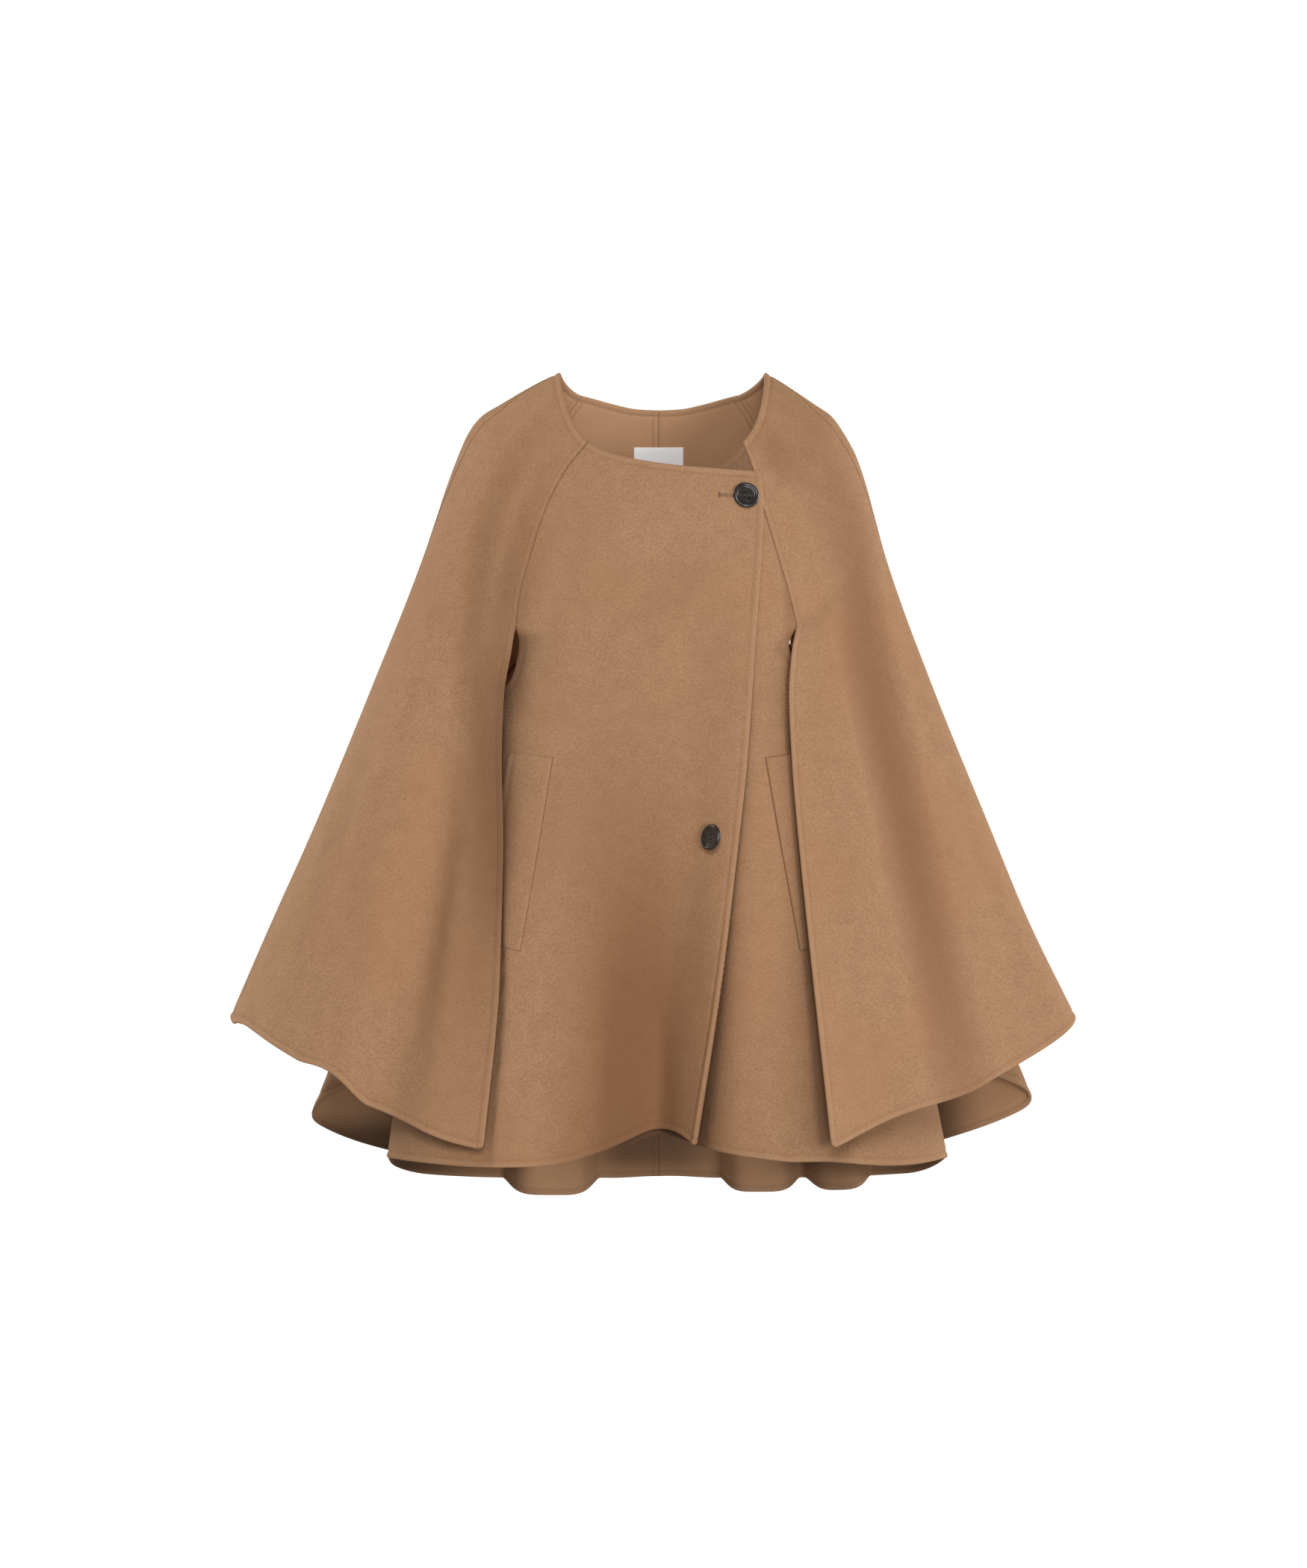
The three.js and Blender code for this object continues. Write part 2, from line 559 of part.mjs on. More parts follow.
// Face of the label's place, across the centre back seam below the neckline
const labelFace = (u, v) => {
  const z = LABEL.topZ - LABEL.height * v;
  const x = LABEL.width * (u - 0.5);
  return bodyPoint(180 - (Math.atan2(x, along(BODY, "z", "back", z)) * 180) / Math.PI, z, -LABEL.hang * v);
};

// A button turned about its thread shank, with a raised rim and four holes. It stands on the origin.
function buttonGeometry(shankLength) {
  const { radius, thick, rim, dish, shank } = BUTTON;
  const top = shankLength + thick;
  const profile = [
    [0, 0],
    [shank, 0],
    [shank, shankLength],
    [radius - 3, shankLength],
    [radius - 0.6, shankLength + 1.2],
    [radius, shankLength + thick * 0.55],
    [radius - 0.7, top - 0.3],
    [radius - 0.5 * rim, top],
    [radius - rim, top - 0.5],
    [radius - rim - 1.6, top - dish],
    [0, top - dish],
  ];
  const lathe = new THREE.LatheGeometry(profile.map(([r, h]) => new THREE.Vector2(r, h)), TURNED_STEPS);
  const holes = [45, 135, 225, 315].map((deg) => {
    const hole = new THREE.CylinderGeometry(BUTTON.holeRadius, BUTTON.holeRadius, thick * 2, 8);
    const reach = BUTTON.holeReach;
    const depth = shankLength + thick * 1.5;
    return hole.translate(reach * Math.cos(degToRad(deg)), depth, reach * Math.sin(degToRad(deg)));
  });
  return cut(lathe, holes);
}

// Turns +Y of a geometry to a normal and moves it to a point
function seat(geometry, point, normal) {
  const turn = new THREE.Quaternion().setFromUnitVectors(new THREE.Vector3(0, 1, 0), normal);
  return geometry.applyQuaternion(turn).translate(point.x, point.y, point.z);
}

const manifold = await Module();
manifold.setup();

// A geometry as a solid for cutting
function solidOf(geometry) {
  const bare = new THREE.BufferGeometry();
  bare.setAttribute("position", geometry.attributes.position);
  if (geometry.index) bare.setIndex(geometry.index);
  const merged = mergeVertices(bare, 1e-4);
  const mesh = new manifold.Mesh({
    numProp: 3,
    vertProperties: new Float32Array(merged.attributes.position.array),
    triVerts: new Uint32Array(merged.index.array),
  });
  mesh.merge();
  return new manifold.Manifold(mesh);
}

// A geometry less its cutters
function cut(geometry, cutters) {
  const mesh = cutters.reduce((rest, cutter) => rest.subtract(solidOf(cutter)), solidOf(geometry)).getMesh();
  const result = new THREE.BufferGeometry();
  result.setAttribute("position", new THREE.BufferAttribute(new Float32Array(mesh.vertProperties), 3));
  result.setIndex(new THREE.BufferAttribute(new Uint32Array(mesh.triVerts), 1));
  return result;
}

// Keyhole buttonhole: a slit that ends in a round eyelet at the button's shank
function buttonholeCutters(point, normal) {
  const { length, width, eyelet, depth } = BUTTONHOLE;
  const slit = new THREE.BoxGeometry(length, depth, width).translate(-length / 2, 0, 0);
  const round = new THREE.CylinderGeometry(eyelet, eyelet, depth, TURNED_STEPS);
  return [slit, round].map((cutter) => seat(cutter, point, normal));
}

const wool = new THREE.MeshStandardMaterial({ color: 0xa98262, roughness: 0.95 });
const horn = new THREE.MeshStandardMaterial({ color: 0x2b2523, roughness: 0.35 });
const satin = new THREE.MeshStandardMaterial({ color: 0xdedede, roughness: 0.6 });

const cape = new THREE.Group();
cape.name = "wool_cape";

// Adds a piece to the cape under its name
function add(name, geometry, material) {
  geometry.computeVertexNormals();
  const piece = new THREE.Mesh(geometry, material);
  piece.name = name;
  cape.add(piece);
}

const HALF_GAP = SEAM_GAP / 2;
const topNormal = bodyNormal(bearingAt(BUTTON_TOP.x, BUTTON_TOP.z), BUTTON_TOP.z);
const topPoint = bodyPoint(bearingAt(BUTTON_TOP.x, BUTTON_TOP.z), BUTTON_TOP.z);

const rightFront = wall(gridOver(rightFrontFace, 1, { columns: COLUMNS.front, last: HALF_GAP }));
add("front_right", cut(rightFront, buttonholeCutters(topPoint, topNormal)), wool);
add("front_left", wall(gridOver(leftFrontFace, -1, { columns: COLUMNS.front, last: HALF_GAP })), wool);
for (const side of ["right", "left"]) {
  const seams = { columns: COLUMNS.back, first: HALF_GAP, last: HALF_GAP };
  add(`back_${side}`, wall(gridOver(backFace(side), SIDES[side], seams)), wool);
}
for (const side of ["right", "left"]) {
  const held = { first: HALF_GAP, last: HALF_GAP };
  const front = { ...held, columns: COLUMNS.sleeveFront, normalAt: sleeveNormal(side, false) };
  const back = { ...held, columns: COLUMNS.sleeveBack, normalAt: sleeveNormal(side, true) };
  add(`sleeve_front_${side}`, wall(gridOver(sleeveFrontFace(side), -SIDES[side], front)), wool);
  add(`sleeve_back_${side}`, wall(gridOver(sleeveBackFace(side), SIDES[side], back)), wool);
}
for (const side of ["right", "left"]) {
  const rows = Array.from({ length: 9 }, (_, j) => j / 8);
  const grid = gridOver(weltFace(side), -SIDES[side], { columns: COLUMNS.welt, rows });
  add(`welt_${side}`, wall(grid, SEAM_GAP + CLOTH, SEAM_GAP), wool);
}

const shankTop = LAP_LIFT + BUTTON_TOP.stand - SEAM_GAP;
const topSeat = topPoint.clone().addScaledVector(topNormal, SEAM_GAP);
add("button_top", seat(buttonGeometry(shankTop), topSeat, topNormal), horn);

const lowDeg = bearingAt(BUTTON_LOW.x, BUTTON_LOW.z);
const lowFace = (du, dv) => lapPoint(lowDeg + du, BUTTON_LOW.z - dv);
const lowNormal = lowFace(0, 1).sub(lowFace(0, -1)).cross(lowFace(1, 0).sub(lowFace(-1, 0))).normalize();
const lowAxis = lowNormal.clone().applyAxisAngle(new THREE.Vector3(0, 0, 1), degToRad(-BUTTON_LOW.turn));
const lowStand = SEAM_GAP + BUTTON.shank * Math.sin(degToRad(BUTTON_LOW.turn));
const lowSeat = lowFace(0, 0).addScaledVector(lowNormal, lowStand);
add("button_low", seat(buttonGeometry(BUTTON_LOW.stand), lowSeat, lowAxis), horn);

const labelRows = Array.from({ length: 6 }, (_, j) => j / 5);
const labelGrid = gridOver(labelFace, 1, { columns: COLUMNS.label, rows: labelRows });
const labelOut = -(CLOTH + SEAM_GAP);
add("label", wall(labelGrid, labelOut, labelOut - LABEL.thick), satin);

export default cape;
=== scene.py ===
"""Looks of the wool cape: fine cloth shells on the form of its panels, sewing, buttons, label and a studio.

Lengths are millimetres in the formulas and metres in the meshes. +Z is up, the front is towards -Y and the
wearer's left is towards +X. Every piece rides on the cape's one body.
"""

import logging
from dataclasses import dataclass, field
from enum import Enum
from typing import Callable, Optional

import bpy
import numpy as np
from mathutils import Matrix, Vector


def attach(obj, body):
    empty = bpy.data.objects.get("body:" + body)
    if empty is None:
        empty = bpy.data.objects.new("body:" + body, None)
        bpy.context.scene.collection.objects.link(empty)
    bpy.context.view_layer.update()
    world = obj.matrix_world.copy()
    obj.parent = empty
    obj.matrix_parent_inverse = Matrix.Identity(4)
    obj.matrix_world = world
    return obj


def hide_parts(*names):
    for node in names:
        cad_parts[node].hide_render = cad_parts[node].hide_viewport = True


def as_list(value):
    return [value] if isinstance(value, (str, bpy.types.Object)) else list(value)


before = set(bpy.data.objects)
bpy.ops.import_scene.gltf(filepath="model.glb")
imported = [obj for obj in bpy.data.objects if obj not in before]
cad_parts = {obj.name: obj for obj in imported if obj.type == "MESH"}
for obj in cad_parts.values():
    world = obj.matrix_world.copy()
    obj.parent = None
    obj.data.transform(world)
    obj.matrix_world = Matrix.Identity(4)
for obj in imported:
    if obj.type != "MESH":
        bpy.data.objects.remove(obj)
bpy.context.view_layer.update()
logging.basicConfig(level=logging.INFO, format="%(name)s: %(message)s")
LOG = logging.getLogger("cape")

Array = np.ndarray
FourArrays = tuple[Array, Array, Array, Array]
Colour = tuple[float, float, float, float]
Piece = bpy.types.Object
Material = bpy.types.Material
Socket = bpy.types.NodeSocket
MM = 0.001
CLOTH = 2.4  # wall of the double-faced wool
SEAM_GAP = 0.3
SEWN_GAP = -0.1  # two pieces that are sewn together share this much of their thin edges
LAP_LIFT = CLOTH + 1.8  # the right front lies this far out, over the left front
LAP_FADE = 0.84  # share of its width from which the lift fades towards the side
RAGLAN_SHARE = 0.28  # share of a sleeve's length that is sewn to the body
SIDE_SEAM_SHARE = 0.4  # share of the body's outer edge that lies above the side seam
OPENING_STEP = 0.015  # share of the length over which a seam turns into an open edge
UNDERARM_STEP = 0.02  # the same where an armhole ends at the side seam
UNDERARM_Z = -312.0
SQUARENESS = 2.35  # of the body in plan: 2 is an ellipse
FOLD_POWER = 1.4  # how late a fold grows on its way down
TURN_STEP = 0.1  # steps for the normals, in degrees and millimetres
DOWN_STEP = 0.5


class Side(Enum):
    """The wearer's sides, with their direction along X."""

    RIGHT = -1.0
    LEFT = 1.0

    @property
    def word(self) -> str:
        """Name of the side in the tables and in the pieces' names."""
        return self.name.lower()


def mix(a: Array, b: Array, share: Array) -> Array:
    """Value at a share of the way from a to b."""
    return a + (b - a) * share


def smoothstep(x: Array, low: float, high: float) -> Array:
    """Soft step from 0 at low to 1 at high."""
    t = np.clip((x - low) / (high - low), 0, 1)
    return t * t * (3 - 2 * t)


def bump(t: Array, flat: float = 2.0) -> Array:
    """Soft bump: 1 at 0, none from 1 on, with a squarer top the higher flat is."""
    return np.clip(1 - np.abs(t) ** flat, 0, None) ** 2


def growth(share: Array) -> Array:
    """Share of a fold's full size: none at its start, all at the hem."""
    return np.clip(share, 0, 1) ** FOLD_POWER


def unit(vectors: Array) -> Array:
    """Vectors of length 1 along the given ones."""
    return vectors / np.maximum(np.linalg.norm(vectors, axis=-1, keepdims=True), 1e-12)


class Table:
    """Rows of named columns. Between rows a column runs on a cubic that never overshoots them."""

    def __init__(self, columns: str, *rows: tuple[float, ...]) -> None:
        """Keeps the columns under their names.

        Args:
            columns: Names of the columns, the key first.
            rows: Values in that order.
        """
        values = np.array(sorted(rows), float).T
        self.key = values[0]
        self.columns = dict(zip(columns.split(), values))
        self.first = dict(zip(columns.split(), rows[0]))
        self.last = dict(zip(columns.split(), rows[-1]))

    def at(self, column: str, key: Array) -> Array:
        """Value of a column at a key: a Hermite cubic with the harmonic mean of the slopes beside each row.

        Args:
            column: The column's name.
            key: Keys, of any shape.

        Returns:
            Values of the same shape.
        """
        values, key = self.columns[column], np.asarray(key, float)
        span = np.diff(self.key)
        slope = np.diff(values) / span
        product = slope[:-1] * slope[1:]
        total = np.where(product > 0, slope[:-1] + slope[1:], 1)
        meet = np.where(product > 0, 2 * product / total, 0)
        start, end = np.append(slope[0], meet), np.append(meet, slope[-1])
        i = np.clip(np.searchsorted(self.key, key, side="right") - 1, 0, len(span) - 1)
        t = np.clip((key - self.key[i]) / span[i], 0, 1)
        bend = t * (1 - t) * span[i] * ((1 - t) * start[i] - t * end[i])
        return mix(values[i], values[i + 1], t * t * (3 - 2 * t)) + bend


@dataclass(frozen=True)
class Fold:
    """A soft fold: its place and half width, how square its top is, and how far it moves the hem outwards,
    forwards and up. It fades out at start."""

    at: float
    half: float
    flat: float
    out: float
    fore: float
    rise: float
    start: float


# Body sections: half widths, and depths to the front and the back
BODY = Table(
    "z right left front back",
    (0, 108, 112, 56, 56),
    (-60, 140, 142, 80, 84),
    (-120, 158, 158, 98, 108),
    (-200, 171, 170, 112, 121),
    (-290, 184, 182, 122, 126),
    (-410, 206, 206, 134, 133),
    (-570, 232, 238, 150, 146),
    (-780, 268, 279, 170, 163),
)
# Folds of the body, in degrees round from the centre front
BODY_FOLDS = (
    Fold(2, 36, 2, -38, 0, 22, -280),
    Fold(2, 24, 2, -22, 0, 4, -360),
    Fold(-19, 30, 2, -12, 0, 0, -320),
    Fold(-46, 32, 2, 10, 0, -4, -380),
    Fold(36, 24, 2, 7, 0, 1, -420),
    Fold(64, 20, 2, -6, 0, -6, -480),
    Fold(-86, 22, 2, -7, 0, 0, -450),
    Fold(-146.5, 13.5, 5, 0, 48, -12, -390),
    Fold(-112, 12, 2, -8, 0, 0, -460),
    Fold(148, 11, 5, 0, 46, -9, -400),
    Fold(128, 7.5, 4, 0, 34, -9, -440),
    Fold(178, 18, 2, 6, 0, 2, -430),
)
HEM = Table("deg z", (0, -724), (55, -725), (90, -735), (112, -760), (135, -769), (180, -772))
NECK_RIGHT_FRONT = Table("x z", (-66, -71), (-50, -79), (-24, -87), (20, -94), (95, -99))
NECK_LEFT_FRONT = Table("x z", (-44, -102), (20, -100), (50, -94), (78, -72))
NECK_BACK = Table("x z", (0, -27.5), (20, -26.5), (41, -22.5), (62, -17.5), (76, -14.5))
LAP_EDGE = Table("z x", (-99, 91), (-125, 93), (-270, 85), (-370, 78), (-470, 68), (-600, 55), (-716, 41))
WELT_SEAM = Table("v z right left", (0, -361, 93, 96), (1, -536, 120, 126))
RAGLAN_FRONT = Table(
    "z right left",
    (-71, 65, 77),
    (-95, 84, 86),
    (-120, 98, 92),
    (-150, 110, 101),
    (-180, 119, 110),
    (-210, 127, 119),
    (-240, 131, 126),
)
RAGLAN_BACK = Table(
    "z right left",
    (-15, 74, 75),
    (-45, 94, 94),
    (-90, 110, 110),
    (-140, 122, 122),
    (-180, 129, 129),
    (-215, 132, 132),
)
# Armholes of the body, from the end of the raglan seam to the top of the side seam
ARMHOLE = Table(
    "share fall right left back",
    (0, 0, 0, 0, 0),
    (0.25, 0.28, -0.06, -0.1, -0.14),
    (0.5, 0.62, -0.03, 0.05, 0.06),
    (0.75, 0.9, 0.18, 0.42, 0.45),
    (1, 1, 1, 1, 1),
)
# Open edges of the sleeves below the raglan seams, and how far they stand off the body
OPEN_FRONT = Table(
    "z right left off",
    (-240, 131, 126, 0),
    (-247, 133, 125, 3.7),
    (-262, 135.3, 122, 7.5),
    (-305, 142.5, 119, 9.5),
    (-360, 144, 121, 12.6),
    (-450, 141, 128, 14.2),
    (-550, 141, 137, 15),
    (-712, 151, 152, 18),
)
OPEN_BACK = Table(
    "z right left off",
    (-215, 132, 132, 0),
    (-222, 131.5, 131.5, 4.8),
    (-237, 128.2, 128.2, 8.4),
    (-310, 127, 127, 10),
    (-450, 134, 134, 15),
    (-600, 144, 144, 18),
    (-766, 152, 152, 22),
)
# How far the painted shadow beside a sleeve's open edge reaches out from under it, and its share there
DIM_FRONT = Table(
    "z right left right_share left_share",
    (-240, 0.3, 0.3, 1, 1),
    (-250, 15, 5, 1, 0.8),
    (-300, 14, 5, 1, 0.75),
    (-385, 12, 5, 1, 0.75),
    (-450, 6, 6, 1, 0.8),
    (-520, 2.5, 8, 0.95, 0.8),
    (-620, 2, 20, 0.7, 0.62),
    (-712, 1.6, 30, 0.55, 0.62),
)
DIM_BACK = Table(
    "z right left right_share left_share",
    (-215, 0.3, 0.3, 1, 1),
    (-260, 6, 6, 0.8, 0.8),
    (-766, 14, 14, 0.6, 0.6),
)
# The same on the left front, beside the lap
DIM_LAP = Table(
    "z reach share",
    (-99, 1.6, 0.5),
    (-270, 2, 0.6),
    (-470, 5, 0.75),
    (-600, 8, 0.8),
    (-716, 9, 0.85),
)
# Painted shadow on the back's inside, across it
DIM_INSIDE = Table(
    "x share",
    (-260, 0.95),
    (-150, 0.9),
    (-115, 0),
    (-80, 0.1),
    (-30, 0.7),
    (15, 0.65),
    (60, 0.2),
    (85, 0),
    (140, 0.75),
)
DIM_START = 14.0  # length below the raglan seam over which the painted shadow begins
DIM_END = -12.0  # how far below the sleeve's corner it starts to fade: here above it
DIM_END_FADE = 30.0  # length over which it fades there
DIM_END_LOSS = 0.7  # share that it loses there
DIM_LIP = 1.5  # width of the darkest line beside the edge
DIM_BENEATH = 0.5  # painted shadow far beneath a sleeve
DIM_FADE = 30.0  # how far beneath a sleeve it takes to reach that
# Ridge of each sleeve, from the neckline over the shoulder to the outer corner of the hem
RIDGE = Table(
    "v right left y z",
    (0, 92, 99, -2, 0),
    (0.04, 118, 120, 0, -12),
    (0.09, 148, 146, 2, -29),
    (0.12, 166, 162, 3, -40),
    (0.145, 178, 173, 4, -55),
    (0.18, 188, 185, 5, -77),
    (0.227, 199, 195, 6, -106),
    (0.324, 220, 212, 8, -170),
    (0.505, 266, 254, 10, -285),
    (0.727, 324, 311, 12, -425),
    (0.86, 363, 347, 12, -512),
    (1, 403, 392, 12, -604),
)
# The seam over the arm, as a share of the front's width forward of the ridge
ARM_SEAM = Table(
    "v forward", (0, 0.04), (0.06, 0.14), (0.12, 0.22), (0.2, 0.18), (0.3, 0.06), (0.45, 0), (1, -0.02)
)
# Folds of the sleeves, by side and by whether they lie at the back: places run from 0 to 1 across a half
SLEEVE_FOLDS = {
    (Side.RIGHT, False): (
        Fold(0.13, 0.13, 2, 0, 10, 0, 0.5),
        Fold(0.29, 0.2, 2, 0, 0, 3, 0.35),
        Fold(0.62, 0.3, 4, 0, 0, 15, 0.45),
        Fold(0.43, 0.11, 2, 0, -3, 7, 0.7),
    ),
    (Side.RIGHT, True): (
        Fold(0.33, 0.28, 2, -88, 6, 0, 0.4),
        Fold(0.6, 0.24, 2, 42, 0, -5, 0.45),
        Fold(0.8, 0.3, 2, 0, -20, -10, 0.45),
    ),
    (Side.LEFT, False): (
        Fold(0.2, 0.25, 2, 0, 0, 11.5, 0.4),
        Fold(0.5, 0.24, 2, 0, 0, 2, 0.35),
    ),
    (Side.LEFT, True): (
        Fold(0.3, 0.26, 2, -66, 6, 0, 0.4),
        Fold(0.54, 0.24, 2, 72, 0, 4, 0.35),
        Fold(0.75, 0.32, 2, 0, -27, -13, 0.42),
    ),
}

# Long soft waves of the sleeves' fronts: place, half width, how far forward, and between which v they grow
SLEEVE_WAVES = {
    Side.RIGHT: (
        (0.17, 0.12, -2.5, 0.14, 0.4),
        (0.28, 0.14, -8, 0.35, 0.8),
        (0.6, 0.36, 32, 0.16, 0.6),
    ),
    Side.LEFT: (
        (0, 0.2, 9, 0.55, 0.95),
        (0.3, 0.28, 16, 0.15, 0.6),
        (0.86, 0.18, 8, 0.25, 0.7),
    ),
}


def degrees_between(a: Array, b: float) -> Array:
    """Degrees from one bearing to another, the short way round."""
    return (a - b + 900) % 360 - 180


def plain_hem(deg: Array) -> Array:
    """Height of the hem at a bearing without the folds."""
    return HEM.at("z", np.abs(degrees_between(deg, 0)))


def hem_height(deg: Array) -> Array:
    """Height of the hem at a bearing, with the rise of the folds there."""
    rises = (fold.rise * bump(degrees_between(deg, fold.at) / fold.half, fold.flat) for fold in BODY_FOLDS)
    return plain_hem(deg) + sum(rises)


def bearing_at(x: Array, z: Array, at_back: bool = False) -> Array:
    """Bearing of the point of a body section that lies at x.

    Args:
        x: Places along X.
        z: Heights of the sections.
        at_back: Whether the point lies on the back.

    Returns:
        Degrees round from the centre front.
    """
    half = np.where(x < 0, BODY.at("right", z), BODY.at("left", z))
    depth = BODY.at("back" if at_back else "front", z)
    share = np.clip(np.abs(x) / half, 0, 1)
    y = depth * (1 - share**SQUARENESS) ** (1 / SQUARENESS)
    deg = np.degrees(np.arctan2(np.abs(x), y))
    return np.where(x < 0, -1, 1) * (180 - deg if at_back else deg)


def body_folds(deg: Array, z: Array) -> tuple[Array, Array]:
    """How far the folds move the body outwards and forwards: bumps round it that grow down to the hem.

    Args:
        deg: Bearings.
        z: Heights.

    Returns:
        Moves outwards and forwards, in millimetres.
    """
    moved, fore = np.zeros(z.shape), np.zeros(z.shape)
    for fold in BODY_FOLDS:
        share = (fold.start - z) / (fold.start - plain_hem(fold.at))
        size = bump(degrees_between(deg, fold.at) / fold.half, fold.flat) * growth(share)
        moved, fore = moved + fold.out * size, fore + fold.fore * size
    return moved, fore


def body_point(deg: Array, z: Array, out: Array = 0.0) -> Array:
    """Points on the body's outer face: a superellipse at each height, moved by the folds.

    Args:
        deg: Bearings.
        z: Heights.
        out: Distance outwards.

    Returns:
        Points with X, Y and Z in the last axis.
    """
    deg, z, out = np.broadcast_arrays(deg, z, out)
    s, c = np.sin(np.radians(deg)), np.cos(np.radians(deg))
    half = np.where(s < 0, BODY.at("right", z), BODY.at("left", z))
    depth = np.where(c < 0, BODY.at("back", z), BODY.at("front", z))
    total = (np.abs(s) / half) ** SQUARENESS + (np.abs(c) / depth) ** SQUARENESS
    moved, fore = body_folds(deg, z)
    radius = out + moved + total ** (-1 / SQUARENESS)
    return np.stack((radius * s, -radius * c - fore, z), -1)


def body_normal(deg: Array, z: Array) -> Array:
    """Outward normals of the body's face, by small steps."""
    across = body_point(deg + TURN_STEP, z) - body_point(deg - TURN_STEP, z)
    down = body_point(deg, z - DOWN_STEP) - body_point(deg, z + DOWN_STEP)
    return unit(np.cross(down, across))


def outer_edge(side: Side, at_back: bool, v: Array) -> tuple[Array, Array]:
    """Outer edge of a front or a back: raglan seam, armhole, then side seam.

    Args:
        side: The wearer's side.
        at_back: Whether it is the back's edge.
        v: Shares of the way from the neckline to the hem.

    Returns:
        Bearings and heights.
    """
    raglan, side_deg = (RAGLAN_BACK if at_back else RAGLAN_FRONT), 90 * side.value
    last_z = raglan.last["z"]
    sewn_z = mix(raglan.first["z"], last_z, np.clip(v / RAGLAN_SHARE, 0, 1))
    sewn_deg = bearing_at(side.value * raglan.at(side.word, sewn_z), sewn_z, at_back)
    share = np.clip((v - RAGLAN_SHARE) / (SIDE_SEAM_SHARE - RAGLAN_SHARE), 0, 1)
    last_deg = bearing_at(side.value * raglan.last[side.word], last_z, at_back)
    open_deg = mix(last_deg, side_deg, ARMHOLE.at("back" if at_back else side.word, share))
    open_z = mix(last_z, UNDERARM_Z, ARMHOLE.at("fall", share))
    low = (v - SIDE_SEAM_SHARE) / (1 - SIDE_SEAM_SHARE)
    low_z = mix(UNDERARM_Z, hem_height(side_deg), low)
    above, lower = v <= RAGLAN_SHARE, v > SIDE_SEAM_SHARE
    deg = np.where(above, sewn_deg, np.where(lower, side_deg, open_deg))
    return deg, np.where(above, sewn_z, np.where(lower, low_z, open_z))


@dataclass(frozen=True)
class LapFlare:
    """The lower edge of the right front stands forward of the body and hangs a little lower."""

    depth: float = 20
    drop: float = 9
    start_z: float = -200
    full_z: float = -560
    deg: float = 19
    past: float = 3
    drop_power: int = 5

    def point(self, deg: Array, z: Array, lift: Array = LAP_LIFT) -> Array:
        """Points of the right front's outer face: the body's, moved forwards and down near the lapped edge.

        Args:
            deg: Bearings.
            z: Heights.
            lift: Distance off the body.

        Returns:
            Points with X, Y and Z in the last axis.
        """
        edge_deg = bearing_at(LAP_EDGE.at("x", z), z)
        near = smoothstep(deg - edge_deg, -self.deg, self.past)
        point = body_point(deg, z, lift)
        point[..., 1] -= self.depth * near * smoothstep(-z, -self.start_z, -self.full_z)
        low = smoothstep(-z, -self.full_z, -LAP_EDGE.last["z"])
        point[..., 2] -= self.drop * near**self.drop_power * low
        return point


